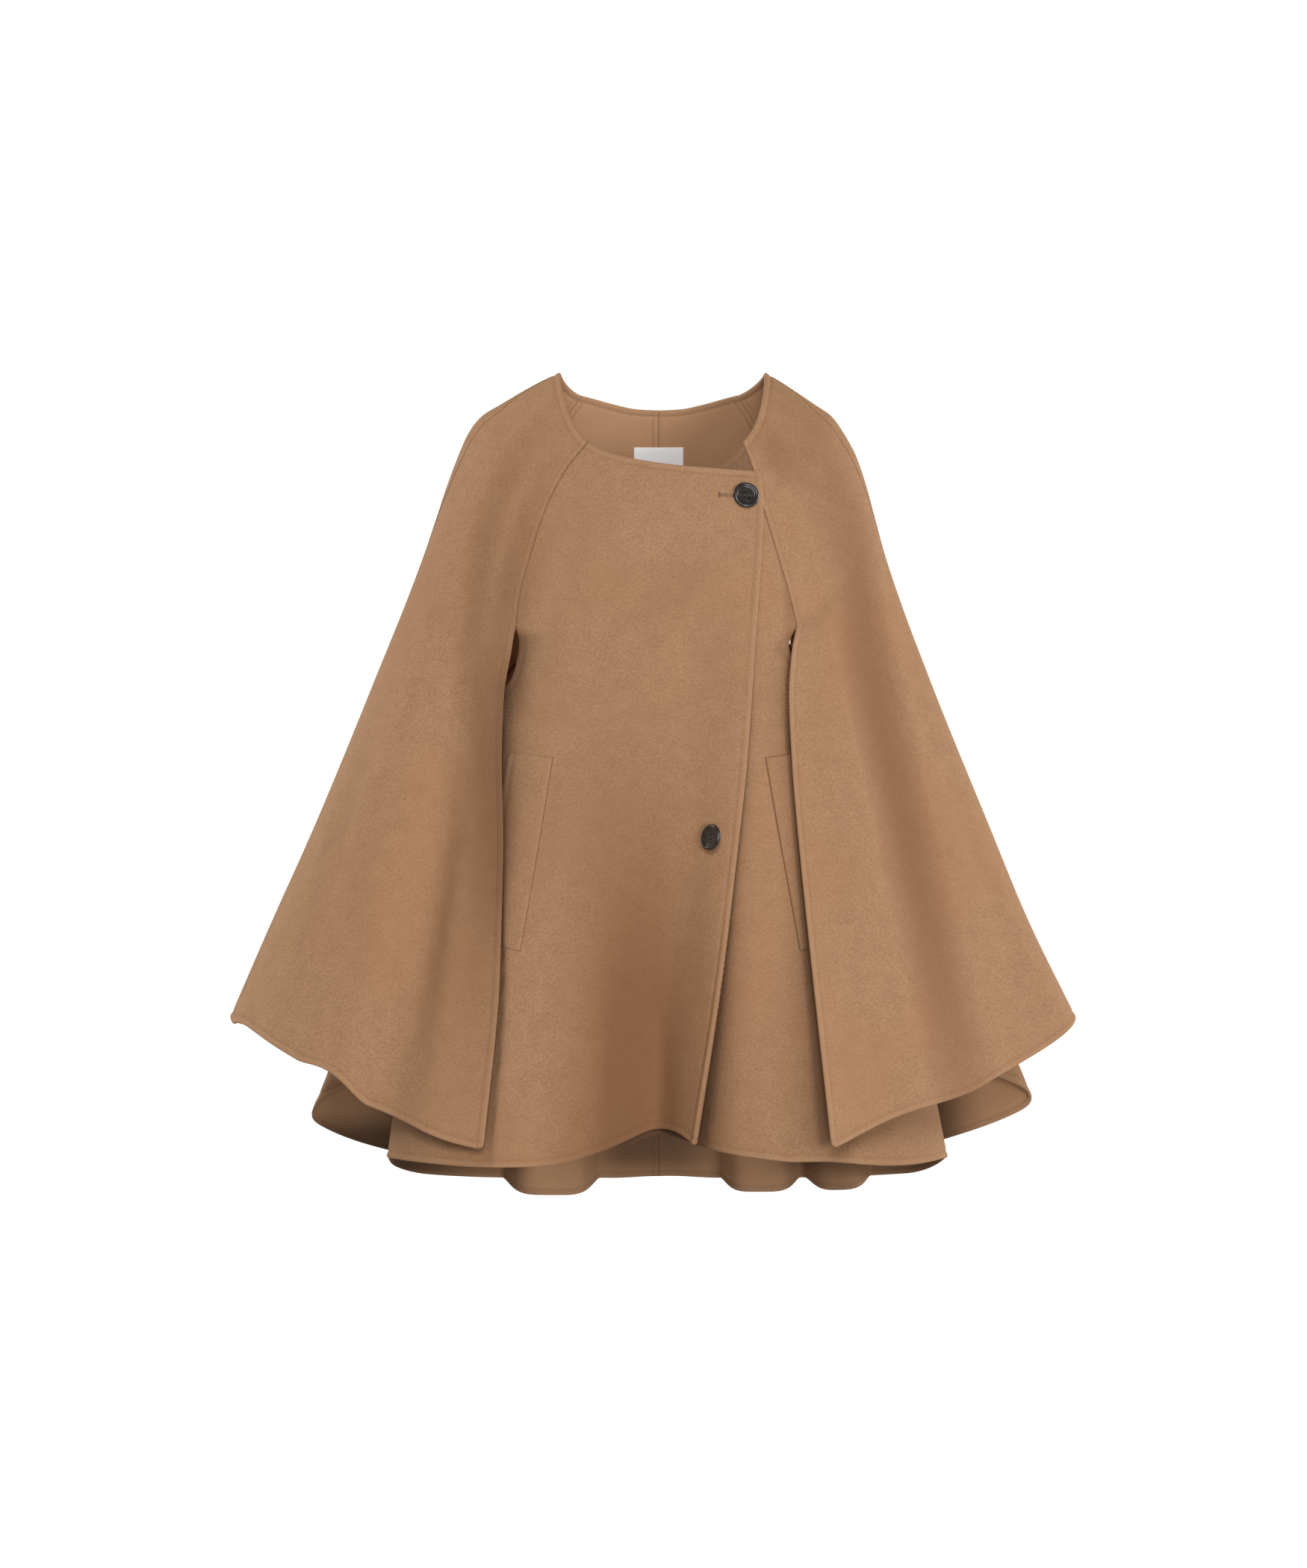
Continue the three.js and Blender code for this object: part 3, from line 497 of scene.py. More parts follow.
@dataclass(frozen=True)
class SleeveFall:
    """How a sleeve falls: share of the chord in the direction in which it leaves the body at the neck and at
    the hem, the length of its curve's handles, and its roundness over the arm, less round and sunk below
    low_from."""

    chord_neck: float = 0.65
    chord_hem: float = 0.4
    handle: float = 0.38
    round_top: float = 0.52
    round_hem: float = 0.32
    low_from: float = 0.35
    sink: float = 0.12
    leave_step: float = 0.5
    front_power: int = 3
    back_power: int = 1

    def edge(self, side: Side, at_back: bool, v: Array) -> tuple[Array, Array, Array]:
        """Edge of a sleeve: on the raglan seam, then standing off the body as it hangs open.

        Args:
            side: The wearer's side.
            at_back: Whether it is the back edge.
            v: Shares of the way from the neckline to the hem.

        Returns:
            Bearings, heights and distances off the body, forward being negative.
        """
        hang = OPEN_BACK if at_back else OPEN_FRONT
        sewn_deg, sewn_z = outer_edge(side, at_back, np.minimum(v, RAGLAN_SHARE))
        low_z = mix(hang.first["z"], hang.last["z"], np.clip((v - RAGLAN_SHARE) / (1 - RAGLAN_SHARE), 0, 1))
        low_deg = bearing_at(side.value * hang.at(side.word, low_z), low_z, at_back)
        sewn = v <= RAGLAN_SHARE
        off = np.where(sewn, 0, (1 if at_back else -1) * hang.at("off", low_z))
        return np.where(sewn, sewn_deg, low_deg), np.where(sewn, sewn_z, low_z), off

    def half(self, side: Side, at_back: bool, t: Array, v: Array) -> Array:
        """One half of a sleeve: at each v a cubic curve from the edge to the ridge, which leaves the body
        along its face and crosses the ridge squarely, with the folds added.

        Args:
            side: The wearer's side.
            at_back: Whether it is the half behind the ridge.
            t: Shares of the way from the edge to the ridge.
            v: Shares of the way from the neckline to the hem.

        Returns:
            Points of the sleeve's outer face.
        """
        ridge = np.stack((side.value * RIDGE.at(side.word, v), RIDGE.at("y", v), RIDGE.at("z", v)), -1)
        deg, z, off = self.edge(side, at_back, v)
        edge, step = body_point(deg, z), side.value * (-self.leave_step if at_back else self.leave_step)
        chord = ridge - edge
        leave = unit(body_point(deg + step, z) - body_point(deg - step, z))
        leave = unit(mix(leave, unit(chord), mix(self.chord_neck, self.chord_hem, v)[..., None]))
        low = smoothstep(v, self.low_from, 1)
        over = ridge.copy()
        over[..., 1] += mix(self.round_top, self.round_hem, low) * (edge[..., 1] - ridge[..., 1])
        over[..., 2] += self.sink * low * (edge[..., 2] - ridge[..., 2])
        near = edge + leave * self.handle * np.linalg.norm(chord, axis=-1, keepdims=True)
        w = t[..., None]
        point = edge * (1 - w) ** 3 + 3 * near * (1 - w) ** 2 * w + 3 * over * (1 - w) * w**2 + ridge * w**3
        point[..., 1] += off * np.clip(1 - t, 0, 1) ** (self.back_power if at_back else self.front_power)
        place = 1 - t if at_back else t
        for fold in SLEEVE_FOLDS[side, at_back]:
            grown = growth((v - fold.start) / (1 - fold.start))
            size = bump((place - fold.at) / fold.half, fold.flat) * grown
            point += size[..., None] * np.array((side.value * fold.out, -fold.fore, fold.rise))
        for at, width, fore, start, full in () if at_back else SLEEVE_WAVES[side]:
            point[..., 1] -= fore * bump((place - at) / width) * growth((v - start) / (full - start))
        return point

    def point(self, side: Side, q: Array, v: Array) -> Array:
        """Points of a sleeve: q runs from the front edge (0) over the ridge (1) to the back edge (2)."""
        front, back = self.half(side, False, q, v), self.half(side, True, 2 - q, v)
        return np.where((q > 1)[..., None], back, front)


FLARE = LapFlare()
FALL = SleeveFall()


def painted_shadow_beside(side: Side, at_back: bool, points: Array) -> Array:
    """Painted shadow on the body beside a sleeve's open edge: it fades away from the edge, and less so
    beneath it.

    Args:
        side: The wearer's side.
        at_back: Whether it is the back edge.
        points: Points of the body's face.

    Returns:
        Shares of the painted shadow.
    """
    x, z = side.value * points[..., 0], points[..., 2]
    hang, reach = (OPEN_BACK, DIM_BACK) if at_back else (OPEN_FRONT, DIM_FRONT)
    shown = hang.at(side.word, z) - x - DIM_LIP
    beside = reach.at(side.word + "_share", z) * np.exp(-np.clip(shown, 0, None) / reach.at(side.word, z))
    beneath = mix(DIM_BENEATH, 1.0, np.exp(np.clip(shown, None, 0) / DIM_FADE))
    starts = smoothstep(-z, -hang.first["z"], DIM_START - hang.first["z"])
    end = DIM_END - hang.last["z"]
    return beside * beneath * starts * (1 - DIM_END_LOSS * smoothstep(-z, end, end + DIM_END_FADE))


class Nodes:
    """Short calls for the nodes of one tree."""

    def __init__(self, tree: bpy.types.NodeTree) -> None:
        """Takes the tree and empties it."""
        self.tree = tree
        tree.nodes.clear()

    def add(self, kind: str, **values: object) -> bpy.types.Node:
        """Adds a node.

        Args:
            kind: The node's type, without ShaderNode.
            values: Properties of the node by name, and sockets by name with spaces as underscores.

        Returns:
            The node.
        """
        node = self.tree.nodes.new("ShaderNode" + kind)
        sockets = {socket.name.lower().replace(" ", "_"): socket for socket in reversed(node.inputs)}
        for name, value in values.items():
            if name in sockets:
                self.feed(value, sockets[name])
            else:
                setattr(node, name, value)
        return node

    def feed(self, value: object, socket: Socket) -> None:
        """Links an output to a socket, or sets the socket's own value."""
        if isinstance(value, Socket):
            self.tree.links.new(value, socket)
        else:
            socket.default_value = value

    def noise(self, place: Socket, scale: object, detail: float = 2.0) -> Socket:
        """Soft noise from 0 to 1 at a scale in waves a metre."""
        return self.add("TexNoise", vector=place, scale=scale, detail=detail).outputs["Fac"]

    def math(self, operation: str, a: object, b: object) -> Socket:
        """Result of a sum on two values."""
        node = self.add("Math", operation=operation)
        self.feed(a, node.inputs[0])
        self.feed(b, node.inputs[1])
        return node.outputs[0]

    def times(self, a: object, b: object) -> Socket:
        """Product of two values."""
        return self.math("MULTIPLY", a, b)

    def both(self, a: object, b: object, share: float) -> Socket:
        """Value at a share of the way from a to b."""
        return self.math("ADD", self.times(a, 1 - share), self.times(b, share))

    def blend(self, share: object, a: object, b: object) -> Socket:
        """Colour at a share of the way from a to b."""
        node = self.add("Mix", data_type="RGBA")
        self.feed(share, node.inputs[0])
        self.feed(a, node.inputs[6])
        self.feed(b, node.inputs[7])
        return node.outputs[2]

    def ranged(self, value: Socket, low: float, high: float) -> Socket:
        """Share that a value has of the way from low to high."""
        return self.add("MapRange", value=value, from_min=low, from_max=high).outputs[0]

    def weight(self, name: str) -> Socket:
        """A weight that the mesh carries."""
        return self.add("Attribute", attribute_name=name).outputs["Fac"]

    def relief(self, height: Socket, strength: float, depth: float) -> Socket:
        """Normals of a fine relief as deep as depth, in metres."""
        return self.add("Bump", strength=strength, distance=depth, height=height).outputs[0]

    def surface(self, **values: object) -> None:
        """Adds the surface's shader with its sockets, named as for add, and puts it out."""
        shader = self.add("BsdfPrincipled", **values)
        self.add("OutputMaterial", surface=shader.outputs[0])


def new_material(name: str) -> tuple[Material, Nodes, Socket]:
    """Starts a material.

    Args:
        name: Its name.

    Returns:
        The material, its nodes and its object coordinates.
    """
    material = bpy.data.materials.new(name)
    material.use_nodes = True
    nodes = Nodes(material.node_tree)
    return material, nodes, nodes.add("TexCoord").outputs["Object"]


def colour(red: float, green: float, blue: float) -> Colour:
    """Linear colour with full alpha from one that is given as shown on a screen, from 0 to 255."""
    shown = np.array((red, green, blue)) / 255
    linear = np.where(shown > 0.04045, ((shown + 0.055) / 1.055) ** 2.4, shown / 12.92)
    return (*(float(x) for x in linear), 1.0)


@dataclass(frozen=True)
class BrushedNap:
    """Brushed nap: mottling, slanting streaks, patches and slow drifts of tone, each in waves a metre."""

    mottle: float = 420.0
    streak: float = 1150.0
    patch: float = 70.0
    drift: float = 7.5
    slant: float = -0.62
    stretch: float = 0.5
    streak_share: float = 0.62
    patch_share: float = 0.14

    def group(self) -> bpy.types.NodeTree:
        """Shader group of the nap: its tone, its drift and the height of its relief."""
        group = bpy.data.node_groups.new("brushed_nap", "ShaderNodeTree")
        inputs = {"Place": "NodeSocketVector", "Grain": "NodeSocketVector", "Fineness": "NodeSocketFloat"}
        for name, kind in inputs.items():
            group.interface.new_socket(name, in_out="INPUT", socket_type=kind)
        for name in ("Tone", "Drift", "Height"):
            group.interface.new_socket(name, in_out="OUTPUT", socket_type="NodeSocketFloat")
        nodes = Nodes(group)
        given = group.nodes.new("NodeGroupInput")
        result = group.nodes.new("NodeGroupOutput")
        place, grain, fineness = (given.outputs[name] for name in inputs)
        turn, scale = (0, 0, self.slant), (1.0, self.stretch, 1.0)
        slanted = nodes.add("Mapping", vector=grain, rotation=turn, scale=scale).outputs[0]
        mottle = nodes.noise(place, nodes.times(fineness, self.mottle), detail=3.0)
        streak = nodes.noise(slanted, nodes.times(fineness, self.streak))
        fine = nodes.both(mottle, streak, self.streak_share)
        tone = nodes.both(fine, nodes.noise(place, self.patch), self.patch_share)
        nodes.feed(tone, result.inputs["Tone"])
        nodes.feed(nodes.noise(place, self.drift, detail=1.0), result.inputs["Drift"])
        nodes.feed(fine, result.inputs["Height"])
        return group


@dataclass(frozen=True)
class WoolFinish:
    """Matt brushed wool: dark and light fibre, and tones that cover it by their shares: a redder drift, the
    inner face painted lighter as painted light, turned edges (less so under painted shade), painted shade in
    the hollows of the folds, painted shadow beside and beneath other pieces, and seam lines."""

    name: str
    dark: Colour
    light: Colour
    drift: Colour
    edge: Colour
    seam: Colour
    painted_fold_shade: Colour
    painted_shadow: Colour
    inner: Colour
    tone_range: tuple[float, float] = (0.38, 0.62)
    drift_range: tuple[float, float] = (0.42, 0.68)
    drift_share: float = 0.4
    inner_share: float = 0.7
    edge_share: float = 0.5
    edge_loss: float = 0.4
    painted_fold_shade_share: float = 0.75
    painted_shadow_share: float = 0.9
    seam_share: float = 0.4
    fineness: float = 1.0
    relief: float = 0.55
    relief_depth: float = 0.0007
    roughness: float = 0.94
    gloss: float = 0.18
    sheen: float = 0.7
    sheen_roughness: float = 0.45

    def material(self, nap: bpy.types.NodeTree) -> Material:
        """The wool as a material that reads object coordinates, the grain map and the panels' weights."""
        material, nodes, place = new_material(self.name)
        grain = nodes.add("UVMap", uv_map="grain").outputs[0]
        cloth = nodes.add("Group", node_tree=nap)
        for name, value in (("Place", place), ("Grain", grain), ("Fineness", self.fineness)):
            nodes.feed(value, cloth.inputs[name])
        drift = nodes.ranged(cloth.outputs["Drift"], *self.drift_range)
        # painted light and shade: the fold hollows and the cloth beside other pieces are painted darker, the
        # inner face lighter
        painted_fold_shade = nodes.weight("painted_fold_shade")
        edge_share = nodes.math("SUBTRACT", self.edge_share, nodes.times(painted_fold_shade, self.edge_loss))
        layers = (
            (drift, self.drift_share, self.drift),
            (nodes.weight("inner"), self.inner_share, self.inner),
            (nodes.weight("edge"), edge_share, self.edge),
            (painted_fold_shade, self.painted_fold_shade_share, self.painted_fold_shade),
            (nodes.weight("painted_shadow"), self.painted_shadow_share, self.painted_shadow),
            (nodes.weight("seam"), self.seam_share, self.seam),
        )
        fibre = nodes.blend(nodes.ranged(cloth.outputs["Tone"], *self.tone_range), self.dark, self.light)
        for weight, share, tint in layers:
            fibre = nodes.blend(nodes.times(weight, share), fibre, tint)
        nodes.surface(
            base_color=fibre,
            roughness=self.roughness,
            normal=nodes.relief(cloth.outputs["Height"], self.relief, self.relief_depth),
            specular_ior_level=self.gloss,
            sheen_weight=self.sheen,
            sheen_roughness=self.sheen_roughness,
            sheen_tint=self.light,
        )
        return material


@dataclass(frozen=True)
class HornFinish:
    """Polished dark horn with faint long streaks and a finely scuffed gloss."""

    name: str
    dark: Colour
    light: Colour
    roughness: tuple[float, float] = (0.18, 0.34)
    streak: float = 110.0
    streak_range: tuple[float, float] = (0.35, 0.7)
    stretch: float = 5.0
    turn: tuple[float, float, float] = (0.3, 0.5, 0.2)
    scuff: float = 900.0
    relief: float = 0.1
    relief_depth: float = 0.0002
    coat: float = 0.35
    coat_roughness: float = 0.12

    def material(self) -> Material:
        """The horn as a material on object coordinates."""
        material, nodes, place = new_material(self.name)
        scale = (1.0, 1.0, self.stretch)
        along = nodes.add("Mapping", vector=place, scale=scale, rotation=self.turn).outputs[0]
        streak = nodes.ranged(nodes.noise(along, self.streak, detail=4.0), *self.streak_range)
        scuff = nodes.noise(place, self.scuff, detail=3.0)
        smooth, rough = self.roughness
        nodes.surface(
            base_color=nodes.blend(streak, self.dark, self.light),
            roughness=nodes.add("MapRange", value=scuff, to_min=smooth, to_max=rough).outputs[0],
            normal=nodes.relief(scuff, self.relief, self.relief_depth),
            coat_weight=self.coat,
            coat_roughness=self.coat_roughness,
        )
        return material


@dataclass(frozen=True)
class ThreadFinish:
    """Spun thread or woven satin: a tint that varies a little, with a fine twill relief."""

    name: str
    dark: Colour
    light: Colour
    waves: float
    roughness: float
    # painted light: an emission that makes the finish glow a little, though it is no lamp
    glow: float = 0.0
    wobble: float = 0.6
    mottle: float = 300.0
    mottle_share: float = 0.5
    relief: float = 0.25
    relief_depth: float = 0.0002
    sheen: float = 0.15

    def material(self) -> Material:
        """The thread as a material on object coordinates."""
        material, nodes, place = new_material(self.name)
        wave = {"scale": self.waves, "distortion": self.wobble, "bands_direction": "DIAGONAL"}
        twill = nodes.add("TexWave", vector=place, **wave).outputs["Fac"]
        tone = nodes.both(twill, nodes.noise(place, self.mottle), self.mottle_share)
        nodes.surface(
            base_color=nodes.blend(tone, self.dark, self.light),
            roughness=self.roughness,
            normal=nodes.relief(twill, self.relief, self.relief_depth),
            sheen_weight=self.sheen,
            emission_color=self.light,
            emission_strength=self.glow,
        )
        return material


def mesh_piece(name: str, points: Array, faces: Array, material: Material) -> Piece:
    """Makes a smooth mesh object at the origin.

    Args:
        name: The piece's name.
        points: Vertices in millimetres, one a row.
        faces: Corners of each face, four or three a row.
        material: Its finish.

    Returns:
        The object, linked to the scene.
    """
    mesh = bpy.data.meshes.new(name)
    mesh.from_pydata((points * MM).tolist(), [], faces.tolist())
    mesh.polygons.foreach_set("use_smooth", np.ones(len(faces), bool))
    mesh.materials.append(material)
    mesh.update()
    piece = bpy.data.objects.new(name, mesh)
    bpy.context.scene.collection.objects.link(piece)
    return piece


def grid_faces(rows: int, columns: int, closed: bool = False) -> Array:
    """Quads of a grid of points, row by row; closed joins the last column to the first."""
    j, i = np.meshgrid(np.arange(rows - 1), np.arange(columns if closed else columns - 1), indexing="ij")
    i2 = (i + 1) % columns
    quads = np.stack((j * columns + i, (j + 1) * columns + i, (j + 1) * columns + i2, j * columns + i2), -1)
    return quads.reshape(-1, 4)


def outward(points: Array, faces: Array) -> Array:
    """Faces of a closed mesh turned outwards: the volume that their triangles close in comes out positive.

    Args:
        points: Vertices.
        faces: Corners of each face, four or three a row.

    Returns:
        The faces, all turned round where the volume is negative.
    """
    first, *others = (points[faces[:, k]] for k in range(faces.shape[1]))
    volume = sum((np.cross(first, b) * c).sum() for b, c in zip(others, others[1:]))
    return faces if volume > 0 else faces[:, ::-1]


def run_along(points: Array, axis: int = 0) -> Array:
    """Distance run along each line of points, from 0 at its first point."""
    steps = np.linalg.norm(np.diff(points, axis=axis), axis=-1)
    return np.concatenate((np.zeros_like(steps.take([0], axis)), np.cumsum(steps, axis)), axis)


def sampled(values: Array, run: Array, at: Array) -> Array:
    """Values of a line of points at distances along it."""
    return np.stack([np.interp(at, run, column) for column in values.T], 1)


LEAST_SLANT = 0.35  # edges that meet at less than this are measured as if they met at it


def slant(a: Array, b: Array) -> Array:
    """Sine of the angle between two directions, and no less than the least slant."""
    return np.clip(np.linalg.norm(np.cross(unit(a), unit(b)), axis=-1), LEAST_SLANT, 1)


CREASE_ENDS = 1.7  # how fast a crease dies away towards its ends
CREASE_LEAN = 0.15  # how much longer its lower end is


@dataclass(frozen=True)
class Crease:
    """A soft ridge (or, with a negative height, a trough) along a line on a panel, in millimetres across
    from its first edge and down from its top. Shade is painted along it as in a fold of the depth shade, and
    more in a deeper trough."""

    x: float
    y: float
    x_end: float
    y_end: float
    half: float
    height: float
    shade: float = 0.0
    bow: float = 0.06

    def reach(self, across: Array, down: Array) -> Array:
        """Share of the crease over the panel: a bump across the line that swells and dies away along it.

        Args:
            across: Distances across the panel.
            down: Distances down the panel.

        Returns:
            Shares from 0 to 1.
        """
        line = np.array((self.x_end - self.x, self.y_end - self.y))
        length = float(np.hypot(*line))
        along = ((across - self.x) * line[0] + (down - self.y) * line[1]) / length**2
        aside = ((across - self.x) * line[1] - (down - self.y) * line[0]) / length
        bow = self.bow * length * np.sin(np.pi * np.clip(along, 0, 1))
        swell = bump(CREASE_ENDS * (along - 0.5) / (1 + CREASE_LEAN * along))
        return bump((aside - bow) / self.half) * swell


@dataclass(frozen=True)
class Groove:
    """A soft swell or groove along an edge: its height, its distance in from the edge and its half width."""

    height: float
    at: float
    half: float

    def over(self, d: Array) -> Array:
        """Height at a distance from the edge."""
        return self.height * bump((d - self.at) / self.half)


@dataclass(frozen=True)
class EdgeShape:
    """Section of the cloth near its edges: a plump turned edge with the groove of its felling, the plump lip
    and the groove of a seam's upper side, the dip of its flat side, the roundness of each edge, and how far
    in from an edge its tones reach."""

    turned_parts: tuple[Groove, ...] = (Groove(0.34, 2.6, 3.4), Groove(-0.5, 6.2, 2.3))
    lip_parts: tuple[Groove, ...] = (Groove(0.42, 2.2, 3.2), Groove(-0.34, 6.6, 2.2))
    sewn_parts: tuple[Groove, ...] = (Groove(-0.28, 0.0, 3.0),)
    felling_line: Groove = Groove(0.4, 6.2, 1.8)
    seam_line: Groove = Groove(1.0, 0.0, 1.2)
    turn_radius: float = 1.25
    seam_radius: float = 0.5
    plump_reach: float = 7.0
    plump_flat: float = 4.0
    pale_from: float = 1.5
    pale_reach: float = 5.0
    quiet_from: float = 4.0
    quiet_to: float = 40.0

    def height(self, d: Array, turned: Array, lip: Array) -> Array:
        """Height at a distance from an edge, by weights: turned, or sewn with a plump lip, or sewn flat."""
        sections = (self.turned_parts, self.lip_parts, self.sewn_parts)
        rolled, plump, flat = (sum(part.over(d) for part in parts) for parts in sections)
        return turned * rolled + (1 - turned) * (lip * plump + (1 - lip) * flat)


EDGES = EdgeShape()
CREASE_SHADE = 3.0  # a crease gets as much painted shade as a fold of this many times its depth
PAINTED_SHADE_DEPTH = 42.0  # folds as deep as this get the darkest painted shade
PAINTED_SHADE_POWER = 0.7
# Long faint waves of the cloth: lengths across and down, and phase
RIPPLES = ((31, 57, 0.0), (-71, 43, 1.3), (19, -90, 0.0))
EDGE_STEPS = np.array((0, 0.25, 0.6, 1.05, 1.6, 2.3, 3.1, 4.0, 5.0, 6.0, 7.0, 8.2, 9.8, 12.0))
SPINE_POINTS = 301  # points that measure a panel down its middle
ROW_POINTS = 241  # and across each row
PAST_EDGE = 0.01  # how far past the edges that measuring goes
FACE_STEP = 2e-3  # step of u and v for the normals
Weight = Callable[[Array], Array]
FourWeights = tuple[Weight, Weight, Weight, Weight]
FaceWeights = dict[str, tuple[Array, Array]]


def always(share: Array) -> Array:
    """Full weight all along an edge."""
    return np.ones_like(share)


def never(share: Array) -> Array:
    """No weight along an edge."""
    return np.zeros_like(share)


def below_raglan(share: Array) -> Array:
    """Weight of an edge that is open below the raglan seam."""
    return smoothstep(share, RAGLAN_SHARE, RAGLAN_SHARE + OPENING_STEP)


def armhole(share: Array) -> Array:
    """Weight of a body's edge that is open from the raglan seam to the side seam."""
    return below_raglan(share) * (1 - smoothstep(share, SIDE_SEAM_SHARE - UNDERARM_STEP, SIDE_SEAM_SHARE))


def ends(first: float, total: Array, last: float, count: int) -> Array:
    """Distances along lines: close together near both ends and even between.

    Args:
        first: Distance held off the first end.
        total: Lengths of the lines.
        last: Distance held off the last end.
        count: Number of points on each line.

    Returns:
        One row of distances for each line.
    """
    total = np.asarray(total, float).reshape(-1, 1)
    near, far = first + EDGE_STEPS[None], total - last - EDGE_STEPS[None, ::-1]
    middle = np.linspace(0, 1, count - 2 * len(EDGE_STEPS) + 2)[None, 1:-1]
    between = near[:, -1:] + middle * (far[:, :1] - near[:, -1:])
    return np.concatenate((near + 0 * total, between, far), axis=1)


@dataclass
class ClothPanel:
    """A panel of cloth: a closed shell on a face of two parameters, u across from the first edge to the last
    and v down from the top to the hem, with rounded edges, relief beside them and creases."""

    name: str
    facing: float
    cut: tuple[float, float, float]
    columns: int = 112
    rows: int = 190
    first_gap: float = 0.0
    last_gap: float = 0.0
    outer: float = 0.0
    thick: float = CLOTH
    flat_below: bool = False
    seam_radius: float = EDGES.seam_radius
    held: str = "hung"
    rests_on: tuple[str, ...] = ()
    creases: tuple[Crease, ...] = ()
    corners: tuple[float, float, float, float] = (0, 0, 0, 0)
    unevenness: float = 0.35
    points: Optional[Array] = field(default=None, repr=False)
    normals: Optional[Array] = field(default=None, repr=False)
    sources: Optional[Array] = field(default=None, repr=False)

    def face(self, u: Array, v: Array) -> Array:
        """Points of the panel's outer face."""
        raise NotImplementedError

    def face_normals(self, u: Array, v: Array) -> Array:
        """Outward normals of the face, by small steps."""
        across = self.face(u + FACE_STEP, v) - self.face(u - FACE_STEP, v)
        down = self.face(u, np.minimum(v + FACE_STEP, 1)) - self.face(u, np.maximum(v - FACE_STEP, 0))
        return unit(self.facing * np.cross(across, down))

    def turned_edges(self) -> FourWeights:
        """Weights of the turned edge along the first edge, the last edge, the top and the hem."""
        return always, always, always, always

    def lips(self) -> tuple[Weight, Weight]:
        """Weights of a plump seam lip along the first and the last edge; the rest of a seam is flat."""
        return never, never

    def extra_plump(self, v: Array) -> Array:
        """Extra half thickness of the first edge."""
        return np.zeros_like(v)

    def fold_depth(self, u: Array, v: Array) -> Array:
        """Depth of the folds of the face, where shade is painted dark."""
        return np.zeros_like(u)

    def painted_shadow_weight(self, points: Array) -> Array:
        """Share of the painted shadow on cloth that lies beside and beneath another piece."""
        return np.zeros(points.shape[:2])

    def inner_painted_shadow_weight(self, points: Array) -> Array:
        """The same for the inner face."""
        return np.zeros(points.shape[:2])

    def spread(self) -> FourArrays:
        """Lays a grid over the face by its real lengths.

        Returns:
            u and v of the grid, distances along each row, and the rows' lengths.
        """
        fine = np.linspace(0, 1, SPINE_POINTS)
        run = run_along(self.face(np.full_like(fine, 0.5), fine))
        v = np.interp(ends(0, run[-1], 0, self.rows)[0], run, fine)
        wide = np.linspace(-PAST_EDGE, 1 + PAST_EDGE, ROW_POINTS)
        run = run_along(self.face(*np.broadcast_arrays(wide[None], v[:, None])), 1)
        start = np.array([np.interp(0, wide, row) for row in run])
        total = np.array([np.interp(1, wide, row) for row in run]) - start
        across = ends(self.first_gap, total, self.last_gap, self.columns)
        u = np.array([np.interp(a + s, row, wide) for a, s, row in zip(across, start, run)])
        return u, np.broadcast_to(v[:, None], u.shape), across, total

    def distances(self, points: Array, across: Array, total: Array) -> FourArrays:
        """Distances of the grid's points from the edges, square to each.

        Args:
            points: Grid of the face.
            across: Distances along each row.
            total: The rows' lengths.

        Returns:
            Distances from the first edge, the last edge, the top and the hem.
        """
        down = run_along(points)
        along_v, along_u = np.gradient(points, axis=0), np.gradient(points, axis=1)
        squares = [slant(along_u[:, i], along_v[:, i])[:, None] for i in (0, -1)]
        squares += [slant(along_u[j], along_v[j])[None] for j in (0, -1)]
        plain = (
            across - self.first_gap,
            total[:, None] - self.last_gap - across,
            down,
            down[-1:] - down,
        )
        return tuple(d * s for d, s in zip(plain, squares))

    def rounded(self, points: Array, edges: FourArrays) -> Array:
        """Rounds the corners: the square of cloth at each is pressed into a quarter of a disc.

        Args:
            points: Grid of the face.
            edges: Distances from the first edge, the last edge, the top and the hem.

        Returns:
            The grid with its corners drawn in.
        """
        across, down = unit(np.gradient(points, axis=1)), unit(np.gradient(points, axis=0))
        moved = points.copy()
        for k, radius in enumerate(self.corners):
            if radius > 0:
                last, low = k % 2, k // 2
                p, q = (np.clip(1 - d / radius, 0, 1) for d in (edges[last], edges[2 + low]))
                inward = radius * p * (1 - np.sqrt(1 - q**2 / 2)) * (1 - 2 * last)
                onward = radius * q * (1 - np.sqrt(1 - p**2 / 2)) * (1 - 2 * low)
                moved += inward[..., None] * across + onward[..., None] * down
        return moved

    def section(self, edges: FourArrays, v: Array) -> tuple[Array, Array, Array]:
        """Section of the cloth by the distances from its edges.

        Half the thickness falls to nothing at an edge on a quarter circle, and the relief with it.

        Args:
            edges: Distances from the first edge, the last edge, the top and the hem.
            v: Shares of the way down.

        Returns:
            Half the thickness, the relief on it, and the weights of turned edges and seam lines as two rows.
        """
        none = np.zeros(v.shape)
        wide = none + np.linspace(0, 1, v.shape[1])
        lines = (v, v, wide, wide)
        turned = [weight(line) for weight, line in zip(self.turned_edges(), lines)]
        lips = [weight(line) for weight, line in zip(self.lips(), lines)] + [none, none]
        plump = (self.extra_plump(v), none, none, none)
        half, rounding = none + self.thick / 2, none + np.inf
        relief, pale, seam = none, none, none
        for d, t, lip, more in zip(edges, turned, lips, plump):
            relief = relief + EDGES.height(d, t, lip)
            half = half + more * bump(d / EDGES.plump_reach, EDGES.plump_flat)
            rounding = np.minimum(rounding, d / (mix(self.seam_radius, EDGES.turn_radius, t) + more))
            pale = np.maximum(pale, t * bump(np.clip(d - EDGES.pale_from, 0, None) / EDGES.pale_reach))
            seam = np.maximum(seam, (1 - t) * EDGES.seam_line.over(d))
            seam = np.maximum(seam, mix(lip, 1.0, t) * EDGES.felling_line.over(d))
        round_off = np.sqrt(1 - (1 - np.clip(rounding, 0, 1)) ** 2)
        return half * round_off, relief * self.thick / CLOTH * round_off, np.stack((pale, seam))

